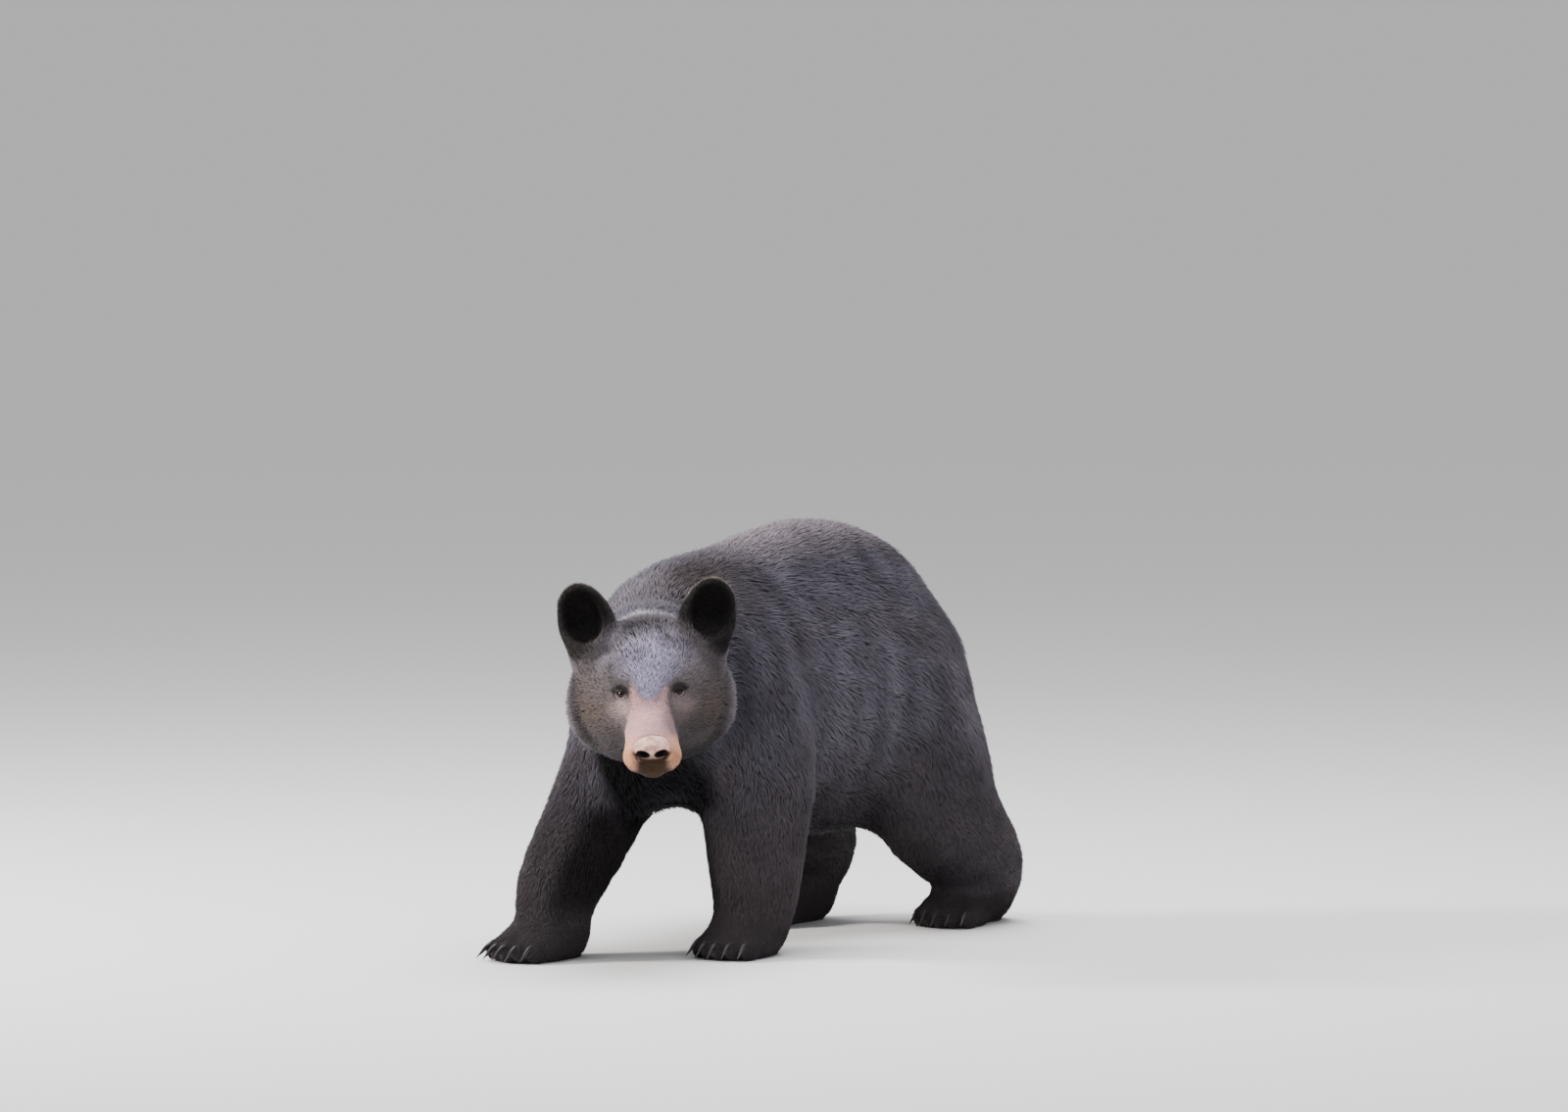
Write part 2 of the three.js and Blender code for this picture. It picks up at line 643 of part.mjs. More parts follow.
/** Middle of an eyeball and the way it looks. */
function eyeSeat(side) {
  const onSkin = placed(headFrame, [side * EYE.place[0], EYE.place[1], EYE.place[2]]);
  settle(bearField, onSkin, 40);
  const outward = slopeAt(bearField, onSkin).normalize();
  return { outward, middle: onSkin.clone().addScaledVector(outward, -EYE.sunk) };
}

/** Ball for an eye or for the lids over it. */
function ball(middle, radius) {
  const shape = new THREE.SphereGeometry(radius, EYE.sides, EYE.rings);
  return solid(shape.translate(middle.x, middle.y, middle.z));
}

/** Prism of the almond between the lids, from the middle of the eye outward. */
function lidOpening(side) {
  const { outward, middle } = eyeSeat(side);
  const [wide, high] = EYE.opening;
  const almond = new THREE.Shape();
  almond.moveTo(-wide / 2, 0);
  almond.quadraticCurveTo(0, high, wide / 2, 0);
  almond.quadraticCurveTo(0, -high, -wide / 2, 0);
  const depth = 2 * EYE.lid;
  const prism = new THREE.ExtrudeGeometry(almond, { depth, bevelEnabled: false, curveSegments: EYE.edge });
  const lean = placed(headTurn, [side * Math.sin(radians(EYE.tilt)), 0, 1]);
  const across = new THREE.Vector3().crossVectors(lean, outward).normalize();
  const up = new THREE.Vector3().crossVectors(outward, across);
  const basis = new THREE.Matrix4().makeBasis(across, up, outward);
  return solid(prism.applyMatrix4(basis.setPosition(middle)));
}

/** The line of the lips as points on the head, lowered and sunk by so much. */
function lipPath(drop, sunk) {
  const half = MOUTH.line.map((p) => new THREE.Vector3(...p));
  const other = half.slice(1).map((p) => new THREE.Vector3(-p.x, p.y, p.z)).reverse();
  const curve = new THREE.CatmullRomCurve3([...other, ...half]);
  return (t) => {
    const onSkin = curve.getPoint(t).add(new THREE.Vector3(0, 0, -drop)).applyMatrix4(headFrame);
    settle(bearField, onSkin, 60);
    return onSkin.addScaledVector(slopeAt(bearField, onSkin).normalize(), -sunk);
  };
}

/** Tube along the lips: the swell of the lower lip, or the groove between the lips. */
function lipTube(radius, drop, sunk) {
  const down = placed(headTurn, [0, 0, -1]);
  const radii = (t) => {
    const share = MOUTH.corner + (1 - MOUTH.corner) * Math.sin(Math.PI * t) ** 0.5;
    return [radius * share, radius * share];
  };
  return sweep(lipPath(drop, sunk), MOUTH.steps, MOUTH.sides, radii, down);
}

const nosePad = bothSides(joined([
  [ellipsoid(NOSE.pad.centre, NOSE.pad.radii), 0],
  [ellipsoid(NOSE.top.centre, NOSE.top.radii), NOSE.top.soft],
]));
const nostrils = bothSides(joined([
  [ellipsoid(NOSE.nostril.centre, NOSE.nostril.radii), 0],
  [taper(NOSE.slit.from, NOSE.slit.to, ...NOSE.slit.radii), NOSE.slit.soft],
]));
const noseField = carried(nosePad, headFrame);
const noseAxes = axesOf(NETS.nose);

function nose() {
  const pad = hollowed(nosePad, nostrils, NOSE.rim);
  return largest(net(carried(pad, headFrame), noseAxes, headFrame));
}

function head() {
  let shape = net(bearField, axesOf(NETS.head), headFrame).intersect(headSpace());
  for (const side of Object.values(sides)) {
    const { middle } = eyeSeat(side);
    shape = shape.subtract(earSpace(side, GAP));
    shape = shape.add(ball(middle, EYE.lid)).subtract(ball(middle, EYE.radius + GAP));
    shape = shape.subtract(lidOpening(side));
  }
  shape = shape.add(lipTube(MOUTH.lip, MOUTH.lipDrop, MOUTH.lipSunk));
  shape = shape.subtract(lipTube(MOUTH.groove, 0, MOUTH.sunk));
  const grownNose = (x, y, z) => noseField(x, y, z) - NOSE.clearance;
  return largest(shape.subtract(net(grownNose, noseAxes, headFrame)));
}

// ---------------------------------------------------------------- the scene graph

const bear = new THREE.Group();

function addPiece(name, shape, material) {
  const mesh = shape.getMesh();
  const geometry = new THREE.BufferGeometry();
  geometry.setAttribute("position", new THREE.Float32BufferAttribute(mesh.vertProperties, 3));
  geometry.setIndex(new THREE.Uint32BufferAttribute(mesh.triVerts, 1));
  const piece = new THREE.Mesh(geometry, material());
  piece.name = name;
  bear.add(piece);
}

addPiece("torso", torso(), COAT);
addPiece("neck", neck(), COAT);
addPiece("tail", tail(), COAT);
for (const [name, leg] of Object.entries(LEGS)) {
  addPiece(name, legPiece(leg), COAT);
  addPiece(leg.paw, paw(leg), COAT);
}
addPiece("head", head(), FACE);
addPiece("nose", nose(), NOSE_SKIN);
for (const [name, side] of Object.entries(sides)) {
  addPiece(`ear_${name}`, ear(side), COAT);
  addPiece(`eye_${name}`, ball(eyeSeat(side).middle, EYE.radius), EYE_GLASS);
}

// The origin is under the middle of the whole bear, on the floor.
const bounds = new THREE.Box3().setFromObject(bear);
const middle = bounds.getCenter(new THREE.Vector3());
bear.position.set(-middle.x, -middle.y, -bounds.min.z);
bear.updateMatrixWorld(true);

export default bear;
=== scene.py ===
"""A life-size black bear, standing with one forefoot a step ahead and its head turned to its left.

The body is one field of blended masses out to the tips of the coat, in millimetres. The skin is
that surface drawn in by the depth of the coat, with lids, lips and folds worked into it. The coat
is closed tapered tufts that grow from the skin along its lie. Eyes, nose and claws are pieces of
their own. Everything is put in the model's own frame in metres.
"""
import logging
from collections.abc import Callable
from dataclasses import dataclass, fields
from enum import Enum
from functools import cached_property

import bpy
import numpy as np
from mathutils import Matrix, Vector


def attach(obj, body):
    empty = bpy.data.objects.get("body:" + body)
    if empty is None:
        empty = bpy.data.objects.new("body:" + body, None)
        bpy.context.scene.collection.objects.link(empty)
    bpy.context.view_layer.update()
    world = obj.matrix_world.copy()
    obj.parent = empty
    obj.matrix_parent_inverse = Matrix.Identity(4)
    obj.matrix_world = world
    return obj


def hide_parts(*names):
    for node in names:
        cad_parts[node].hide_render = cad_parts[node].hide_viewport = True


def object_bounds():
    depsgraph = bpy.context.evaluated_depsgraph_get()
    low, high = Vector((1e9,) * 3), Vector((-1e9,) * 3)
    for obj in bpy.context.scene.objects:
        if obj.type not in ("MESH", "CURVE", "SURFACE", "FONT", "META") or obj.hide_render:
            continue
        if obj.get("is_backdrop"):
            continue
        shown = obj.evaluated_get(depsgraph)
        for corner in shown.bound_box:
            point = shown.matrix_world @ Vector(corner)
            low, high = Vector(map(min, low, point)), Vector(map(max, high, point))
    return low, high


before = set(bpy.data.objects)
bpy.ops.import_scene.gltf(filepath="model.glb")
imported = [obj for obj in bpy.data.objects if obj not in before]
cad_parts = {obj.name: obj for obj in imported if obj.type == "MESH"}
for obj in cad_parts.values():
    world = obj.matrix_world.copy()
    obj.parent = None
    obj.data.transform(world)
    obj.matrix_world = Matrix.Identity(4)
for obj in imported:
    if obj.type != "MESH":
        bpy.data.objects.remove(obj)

import openvdb
from mathutils import Vector

CAD_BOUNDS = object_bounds()
log = logging.getLogger("bear")

Array = np.ndarray
Span = tuple[float, float]
Triple = tuple[float, float, float]
Knot = tuple[float, float, float, float]
Object = bpy.types.Object
Material = bpy.types.Material
Tree = bpy.types.NodeTree
Node = bpy.types.ShaderNode
Socket = bpy.types.NodeSocket
Sockets = bpy.types.NodeOutputs

MM = 0.001  # one millimetre in metres
SEED = 20417
NUDGE = 0.5  # mm, the step that slopes are measured over
UP = np.array([0.0, 0.0, 1.0], np.float32)


# ---- small helpers


def smoothstep(low: float, high: float, value: Array) -> Array:
    """Soft step from 0 at low to 1 at high."""
    share = np.clip((value - low) / (high - low), 0.0, 1.0)
    return share * share * (3.0 - 2.0 * share)


def bump(value: Array, middle: float, width: float) -> Array:
    """Bell of height 1 about the middle."""
    return np.exp(-(((value - middle) / width) ** 2))


def unit(vectors: Array) -> Array:
    """Vectors cut to length 1."""
    return vectors / np.maximum(np.linalg.norm(vectors, axis=-1, keepdims=True), 1e-9)


def tinted(colours: Array, tint: Triple, mask: Array) -> Array:
    """Colours moved towards a tint where the mask says.

    Args:
        colours: one linear colour a row.
        tint: the colour to move to.
        mask: how far, from 0 to 1, for each row.

    Returns:
        The new colours.
    """
    return colours + (np.array(tint, np.float32) - colours) * np.clip(mask, 0, 1)[:, None]


def across_normals(vectors: Array, normals: Array) -> Array:
    """Vectors without what they have along the normals."""
    return vectors - (vectors * normals).sum(1, keepdims=True) * normals


@dataclass(frozen=True)
class Waves:
    """Smooth chance vectors that change over about a given length in millimetres."""

    length: float
    seed: int
    stretch: Triple = (1.0, 1.0, 1.0)  # how fast they change along each axis
    count: int = 7
    spread: Span = (0.7, 1.6)  # of the lengths of the waves
    turn: float = 6.28

    def at(self, points: Array) -> Array:
        """Slow wandering over the body.

        Args:
            points: places in millimetres.

        Returns:
            A vector of length about 1 for each point.
        """
        rng = np.random.default_rng(self.seed)
        places = points * np.array(self.stretch, np.float32)
        total = np.zeros_like(places)
        for _ in range(self.count):
            heading = unit(rng.normal(size=3)) * (2 * np.pi / (self.length * rng.uniform(*self.spread)))
            push = rng.normal(size=3)
            phase = rng.uniform(0, self.turn)
            total += np.sin(places @ heading.astype(np.float32) + phase)[:, None] * push
        return (total / np.sqrt(self.count / 2)).astype(np.float32)


# ---- placing and fields


@dataclass(frozen=True)
class Placement:
    """A frame of its own: where it lies, how it is turned in degrees, and its size."""

    place: Triple
    yaw: float = 0.0
    pitch: float = 0.0
    roll: float = 0.0
    size: float = 1.0

    @cached_property
    def turn(self) -> Array:
        """Turning matrix from the frame's own axes to those around it.

        Returns:
            Its columns are the frame's axes, as seen from around it.
        """
        yaw, pitch, roll = np.radians([self.yaw, self.pitch, self.roll])
        about_z = [[np.cos(yaw), -np.sin(yaw), 0], [np.sin(yaw), np.cos(yaw), 0], [0, 0, 1]]
        about_x = [[1, 0, 0], [0, np.cos(pitch), -np.sin(pitch)], [0, np.sin(pitch), np.cos(pitch)]]
        about_y = [[np.cos(roll), 0, np.sin(roll)], [0, 1, 0], [-np.sin(roll), 0, np.cos(roll)]]
        return (np.array(about_z) @ np.array(about_x) @ np.array(about_y)).astype(np.float32)

    def inside(self, points: Array) -> Array:
        """Points around the frame, in its own space."""
        return ((points - np.array(self.place, np.float32)) @ self.turn) / self.size

    def outside(self, points: Array) -> Array:
        """Points of the frame's own space, in the space around it."""
        return (points * self.size) @ self.turn.T + np.array(self.place, np.float32)

    def turned(self, vectors: Array) -> Array:
        """Directions of the frame's own space, in the space around it."""
        return vectors @ self.turn.T


@dataclass(frozen=True)
class Ball:
    """Ball stretched to three half sizes."""

    centre: Triple
    radii: Triple
    soft: float = 0.0

    def distance(self, points: Array) -> Array:
        """Distance from each point to the surface.

        Args:
            points: places in millimetres.

        Returns:
            Distances, below zero inside.
        """
        radii = np.array(self.radii, np.float32)
        shrunk = (points - np.array(self.centre, np.float32)) / radii
        near = np.sqrt((shrunk * shrunk).sum(-1))
        slope = np.sqrt(((shrunk / radii) ** 2).sum(-1))
        return near * (near - 1) / (slope + 1e-6)


@dataclass(frozen=True)
class Taper:
    """Hull of two balls."""

    start: Triple
    end: Triple
    radii: tuple[float, float]
    soft: float = 0.0

    @cached_property
    def axis(self) -> tuple[Array, float]:
        """Measures the line between the two ends.

        Returns:
            Direction from start to end, and how far apart they lie.
        """
        span = np.array(self.end, np.float32) - np.array(self.start, np.float32)
        length = float(np.linalg.norm(span))
        return span / length, length

    def distance(self, points: Array) -> Array:
        """Distance from each point to the surface.

        Args:
            points: places in millimetres.

        Returns:
            Distances, below zero inside.
        """
        direction, length = self.axis
        first, last = self.radii
        slope = min(max((last - first) / length, -0.95), 0.95)
        lean = slope / np.sqrt(1 - slope * slope)
        away = points - np.array(self.start, np.float32)
        along = away @ direction
        out = np.sqrt(np.maximum((away * away).sum(-1) - along * along, 0))
        at = np.clip(along + out * lean, 0, length)
        return np.sqrt(out * out + (along - at) ** 2) - (first + at * (last - first) / length)


def soften(first: Array, second: Array, width: float) -> Array:
    """Two distances run together over a width."""
    near = np.maximum(width - np.abs(first - second), 0) / max(width, 1e-6)
    return np.minimum(first, second) - near * near * width / 4


def joined(masses: tuple, points: Array) -> Array:
    """Runs masses together in order, each with its own softness.

    Args:
        masses: what is joined.
        points: places in millimetres.

    Returns:
        Distances, below zero inside.
    """
    total = masses[0].distance(points)
    for mass in masses[1:]:
        total = soften(total, mass.distance(points), mass.soft)
    return total


def hollowed(distance: Array, hole: Array, width: float) -> Array:
    """A distance with a hole cut in it, the rim rounded over a width."""
    return -soften(-distance, hole, width)


def mirrored(points: Array) -> Array:
    """Folds points to the side where x is above zero.

    Args:
        points: places in a frame that is the same on both sides.

    Returns:
        The folded places.
    """
    folded = points.copy()
    folded[:, 0] = np.abs(folded[:, 0])
    return folded


def smooth_knots(knots: tuple[Knot, ...], span: int) -> Array:
    """Knots on the smooth curve through the given ones.

    Args:
        knots: rows of x, y, z and radius.
        span: lengths between two given knots.

    Returns:
        The finer rows.
    """
    given = np.array(knots, float)
    rows = np.vstack([2 * given[0] - given[1], given, 2 * given[-1] - given[-2]])
    fine = []
    for i in range(1, len(rows) - 2):
        a, b, c, d = rows[i - 1:i + 3]
        for t in np.arange(span) / span:
            fine.append(0.5 * (2 * b + (c - a) * t + (2 * a - 5 * b + 4 * c - d) * t * t
                               + (3 * b - a - 3 * c + d) * t ** 3))
    return np.array(fine + [given[-1]])


# ---- the lie of the coat


@dataclass(frozen=True)
class Lie:
    """How the coat grows somewhere, in millimetres."""

    depth: float  # from the skin to the tips
    length: float
    width: float
    ruffle: float  # how far the tufts stray from their lie, from 0 not at all to 1

    @property
    def row(self) -> Array:
        """The four numbers as an array."""
        return np.array([self.depth, self.length, self.width, self.ruffle], np.float32)


class Pelt(Enum):
    """How the coat grows on each stretch of the body."""

    BACK = Lie(9.5, 29.0, 2.45, 0.2)
    BELLY = Lie(10.0, 31.0, 2.5, 0.2)
    NECK = Lie(10.0, 27.0, 2.25, 0.24)
    TAIL = Lie(9.0, 34.0, 2.4, 0.3)
    THIGH = Lie(8.5, 26.0, 2.35, 0.18)
    SHANK = Lie(5.5, 19.0, 2.0, 0.16)
    FOOT = Lie(3.4, 11.0, 1.6, 0.15)
    RUFF = Lie(7.0, 20.0, 1.75, 0.2)
    CHEEK = Lie(3.8, 12.5, 1.3, 0.15)
    BROW = Lie(3.6, 11.0, 1.3, 0.26)
    LID = Lie(2.2, 6.5, 1.0, 0.18)
    MUZZLE = Lie(1.5, 6.0, 0.95, 0.14)
    EAR = Lie(2.6, 11.0, 1.4, 0.22)


@dataclass(frozen=True)
class Whorl:
    """A spot of the head, in the head's frame, with the lie of the coat there."""

    spot: Triple
    flow: Triple
    pelt: Pelt


# ---- parts of the body


@dataclass(frozen=True)
class Trunk:
    """Ribs, belly, rump, withers and chest."""

    name: str = "torso"
    blend: float = 0.0
    masses: tuple[Ball, ...] = (
        Ball((0, -215, 483), (182, 250, 236)),  # ribs
        Ball((0, 22, 480), (214, 285, 289), 110),  # belly and loins
        Ball((0, 190, 470), (168, 244, 263), 110),  # rump
        Ball((0, -310, 556), (102, 168, 124), 110),  # withers
        Ball((0, -420, 420), (124, 125, 145), 80),  # chest
    )
    fall: float = -0.62  # how far the coat falls for each step back
    belly: Span = (420.0, 270.0)  # heights where the belly's own coat begins and is full

    def near(self, points: Array) -> Array:
        """The points that this part can reach."""
        return np.ones(len(points), bool)

    def distance(self, points: Array) -> Array:
        """Distance from each point to this part."""
        return joined(self.masses, points)

    def flow(self, points: Array) -> Array:
        """Way the coat lies at each point: back, and down the flanks."""
        return np.tile(np.array([0, 1, self.fall], np.float32), (len(points), 1))

    def lie(self, points: Array) -> Array:
        """How the coat grows at each point."""
        low = smoothstep(*self.belly, points[:, 2])[:, None]
        return Pelt.BACK.value.row * (1 - low) + Pelt.BELLY.value.row * low


@dataclass(frozen=True)
class Limb:
    """Round limb through knots of x, y, z and radius, such as the neck or the tail."""

    name: str
    knots: tuple[Knot, ...]
    soft: float
    blend: float
    pelt: Pelt
    toward_tip: bool  # whether the coat runs from the first knot to the last
    span: int = 1
    margin: float = 95.0  # how far out the limb still sways its neighbours

    @cached_property
    def rows(self) -> Array:
        """Knots of the smooth axis."""
        return smooth_knots(self.knots, self.span)

    @cached_property
    def lengths(self) -> list[Taper]:
        """The stretches between the knots."""
        pairs = zip(self.rows, self.rows[1:])
        return [Taper(tuple(a[:3]), tuple(b[:3]), (a[3], b[3])) for a, b in pairs]

    def near(self, points: Array) -> Array:
        """Finds the points that this part can reach.

        Args:
            points: places in millimetres.

        Returns:
            True for each of them.
        """
        reach = self.rows[:, 3:] + self.margin
        low = (self.rows[:, :3] - reach).min(0)
        high = (self.rows[:, :3] + reach).max(0)
        return ((points > low) & (points < high)).all(-1)

    def shares(self, points: Array) -> tuple[Array, Array]:
        """Weighs the stretches of the limb at each point.

        Args:
            points: places in millimetres.

        Returns:
            Distance to each stretch, and how much each counts.
        """
        each = np.stack([stretch.distance(points) for stretch in self.lengths])
        weight = np.exp(-(each - each.min(0)) / self.soft)
        return each, weight / weight.sum(0)

    def distance(self, points: Array) -> Array:
        """Distance from each point to this part."""
        each, share = self.shares(points)
        return (each * share).sum(0)

    def flow(self, points: Array) -> Array:
        """Way the coat lies, along the limb.

        Args:
            points: places in millimetres.

        Returns:
            One direction a point.
        """
        share = self.shares(points)[1]
        ahead = np.stack([stretch.axis[0] for stretch in self.lengths])
        return (share.T @ ahead) * (1.0 if self.toward_tip else -1.0)

    def lie(self, points: Array) -> Array:
        """How the coat grows at each point."""
        return np.tile(self.pelt.value.row, (len(points), 1))


@dataclass(frozen=True)
class Paw:
    """A foot in its own frame: heel at the back, toes forward, sole on the floor."""

    place: Span
    turn: float
    hind: bool
    blend: float = 30.0
    ball: Knot = (0, -16, 34, 50)
    heels: tuple[Knot, Knot] = ((0, 40, 40, 52), (0, 104, 42, 44))  # fore, hind
    pad: Ball = Ball((0, -30, 28), (66, 66, 38), 24)
    toes: int = 5
    toe_spread: float = 48.0  # sideways, from the middle toe to the outer one
    toe_reach: float = -86.0
    toe_sweep: float = 18.0  # how far the outer toes fall back
    toe_curve: float = 1.6  # 1 sets the toes on straight lines, more on a curve
    toe_radii: Triple = (15.5, 28, 20)
    toe_height: float = 20.0
    toe_soft: float = 9.0

    @cached_property
    def frame(self) -> Placement:
        """The foot's own frame."""
        return Placement((*self.place, 0.0), yaw=self.turn)

    def toe_share(self, index: int) -> float:
        """How far out a toe lies, from -1 to 1."""
        return 2 * index / (self.toes - 1) - 1

    def toe(self, index: int) -> Triple:
        """Places a toe.

        Args:
            index: its number, from 0.

        Returns:
            Its middle in the foot's frame.
        """
        share = self.toe_share(index)
        back = self.toe_sweep * abs(share) ** self.toe_curve
        return (share * self.toe_spread, self.toe_reach + back, self.toe_height)

    def distance(self, points: Array) -> Array:
        """Distance from each point to the foot.

        Args:
            points: places in millimetres.

        Returns:
            Distances, below zero inside.
        """
        heel = self.heels[int(self.hind)]
        toes = [Ball(self.toe(index), self.toe_radii, self.toe_soft) for index in range(self.toes)]
        sole = Taper(self.ball[:3], heel[:3], (self.ball[3], heel[3]))
        return joined((sole, self.pad, *toes), self.frame.inside(points))


@dataclass(frozen=True)
class Leg:
    """A leg with its foot."""

    name: str
    limb: Limb
    paw: Paw
    blend: float = 62.0
    backward: float = 0.18  # how far the coat leans back down the leg
    toeward: Triple = (0, -1.0, -0.35)
    turning: Span = (87.0, 37.0)  # heights where the coat turns forward over the toes
    foot: Span = (107.0, 37.0)  # heights where the foot's own coat begins and is full
    thigh: Span = (190.0, 390.0)

    def near(self, points: Array) -> Array:
        """The points that this part can reach."""
        return self.limb.near(points)

    def distance(self, points: Array) -> Array:
        """Distance from each point to this part."""
        return soften(self.limb.distance(points), self.paw.distance(points), self.paw.blend)

    def flow(self, points: Array) -> Array:
        """Way the coat lies: down the leg and forward over the toes.

        Args:
            points: places in millimetres.

        Returns:
            One direction a point.
        """
        down = self.limb.flow(points) + np.array([0, self.backward, 0], np.float32)
        forward = self.paw.frame.turned(np.array([self.toeward], np.float32))
        foot = smoothstep(*self.turning, points[:, 2])[:, None]
        return down * (1 - foot) + forward * foot

    def lie(self, points: Array) -> Array:
        """How the coat grows.

        Args:
            points: places in millimetres.

        Returns:
            A row of coat measures a point.
        """
        foot = smoothstep(*self.foot, points[:, 2])[:, None]
        thigh = smoothstep(*self.thigh, points[:, 2])[:, None]
        shank = Pelt.SHANK.value.row * (1 - thigh) + Pelt.THIGH.value.row * thigh
        return shank * (1 - foot) + Pelt.FOOT.value.row * foot


HEAD_FRAME = Placement((158, -643, 528), yaw=37, pitch=31, roll=-3, size=1.05)
EAR_FRAME = Placement((104, 52, 90), yaw=12, pitch=-30, roll=27)
HEAD_REACH = 330.0  # how far from its middle the head still matters


def near_head(points: Array) -> Array:
    """The points that the head can reach."""
    return (np.abs(points - np.array(HEAD_FRAME.place, np.float32)) < HEAD_REACH).all(-1)


@dataclass(frozen=True)
class Skull:
    """The head without its ears, alike on both sides, in the head's frame."""

    name: str = "head"
    blend: float = 55.0
    masses: tuple[Ball | Taper, ...] = (
        Ball((0, 25, -12), (112, 88, 80)),  # skull and brow
        Ball((56, 30, -80), (89, 80, 84), 50),  # cheek ruff
        Ball((0, 10, -98), (92, 90, 58), 40),  # throat
        Ball((0, -32, 8), (72, 62, 50), 40),  # forehead
        Ball((36, -26, -62), (56, 62, 60), 40),  # in front of the cheek
        Taper((0, -50, -16), (0, -158, -35), (54, 35), 30),  # muzzle
        Taper((8, -112, -44), (22, -174, -39), (30, 27), 16),  # upper lip
        Taper((0, -40, -80), (0, -156, -67), (48, 25), 22),  # lower jaw
    )
    whorls: tuple[Whorl, ...] = (
        Whorl((0, -192, 2), (0, 1, 0.2), Pelt.MUZZLE),  # behind the nose
        Whorl((0, -150, 6), (0, 1, 0.15), Pelt.MUZZLE),
        Whorl((0, -112, 16), (0, 1, 0.25), Pelt.MUZZLE),  # bridge
        Whorl((30, -150, -10), (0.25, 1, -0.1), Pelt.MUZZLE),
        Whorl((44, -165, -40), (0.4, 1, -0.25), Pelt.MUZZLE),  # upper lip
        Whorl((44, -125, -42), (0.4, 1, -0.3), Pelt.MUZZLE),
        Whorl((0, -196, -42), (0.2, 0.4, -1), Pelt.MUZZLE),  # under the nose
        Whorl((20, -172, -82), (0.1, 1, -0.6), Pelt.MUZZLE),  # chin
        Whorl((28, -125, -104), (0.15, 1, -0.5), Pelt.LID),
        Whorl((0, -84, 34), (0.02, 0.9, 0.7), Pelt.BROW),  # between the eyes
        Whorl((34, -88, 20), (0.2, 0.8, 0.5), Pelt.LID),  # inner corner of the eye
        Whorl((50, -80, 38), (0.35, 0.7, 0.75), Pelt.LID),  # upper lid
        Whorl((66, -72, 20), (0.8, 0.7, 0.1), Pelt.LID),
        Whorl((50, -88, 8), (0.5, 0.9, -0.35), Pelt.LID),  # lower lid
        Whorl((0, -48, 62), (0.0, 0.8, 0.8), Pelt.BROW),  # forehead
        Whorl((42, -44, 56), (0.45, 0.8, 0.6), Pelt.BROW),
        Whorl((0, 20, 80), (0.0, 1, 0.1), Pelt.BROW),  # crown
        Whorl((50, 10, 74), (0.5, 1, 0.1), Pelt.BROW),
        Whorl((84, -32, 24), (0.8, 0.8, 0.05), Pelt.CHEEK),  # temple
        Whorl((64, -72, -20), (0.7, 0.9, -0.35), Pelt.CHEEK),  # under the eye
        Whorl((84, -50, -60), (0.65, 0.7, -0.6), Pelt.CHEEK),
        Whorl((56, -82, -92), (0.4, 0.8, -0.7), Pelt.CHEEK),  # jaw
        Whorl((128, 0, -50), (0.5, 0.75, -0.6), Pelt.RUFF),
        Whorl((110, -10, -110), (0.4, 0.6, -0.8), Pelt.RUFF),
        Whorl((50, -10, -150), (0.2, 0.8, -0.6), Pelt.RUFF),  # throat
        Whorl((0, -50, -135), (0, 1, -0.5), Pelt.RUFF),
        Whorl((118, 60, -10), (0.4, 1, -0.4), Pelt.RUFF),  # behind the cheek
        Whorl((60, 105, 20), (0.1, 1, -0.2), Pelt.RUFF),  # nape
    )
    hold: float = 12.0  # how softly one whorl passes into the next
    near_spot: float = 1e-3  # keeps the distance to a whorl above zero
    parting: float = 14.0  # half width of the parting along the middle

    def near(self, points: Array) -> Array:
        """The points that this part can reach."""
        return near_head(points)

    def distance(self, points: Array) -> Array:
        """Distance from each point to this part."""
        return joined(self.masses, mirrored(HEAD_FRAME.inside(points))) * HEAD_FRAME.size

    def shares(self, own: Array) -> Array:
        """Weighs the whorls.

        Args:
            own: places folded to one side of the head.

        Returns:
            How much each whorl counts at each place.
        """
        spots = np.array([whorl.spot for whorl in self.whorls], np.float32)
        squares = (own * own).sum(-1)[:, None] + (spots * spots).sum(-1) - 2 * own @ spots.T
        apart = np.sqrt(squares + self.near_spot)
        weight = np.exp(-(apart - apart.min(1, keepdims=True)) / self.hold)
        return weight / weight.sum(1, keepdims=True)

    def flow(self, points: Array) -> Array:
        """Way the coat lies, from the nose back.

        Args:
            points: places in millimetres.

        Returns:
            One direction a point.
        """
        own = HEAD_FRAME.inside(points)
        flows = unit(np.array([whorl.flow for whorl in self.whorls], np.float32))
        flow = self.shares(mirrored(own)) @ flows
        flow[:, 0] *= np.sign(own[:, 0]) * smoothstep(0, self.parting, np.abs(own[:, 0]))
        return HEAD_FRAME.turned(flow)

    def lie(self, points: Array) -> Array:
        """How the coat grows at each point."""
        rows = np.array([whorl.pelt.value.row for whorl in self.whorls], np.float32)
        return self.shares(mirrored(HEAD_FRAME.inside(points))) @ rows


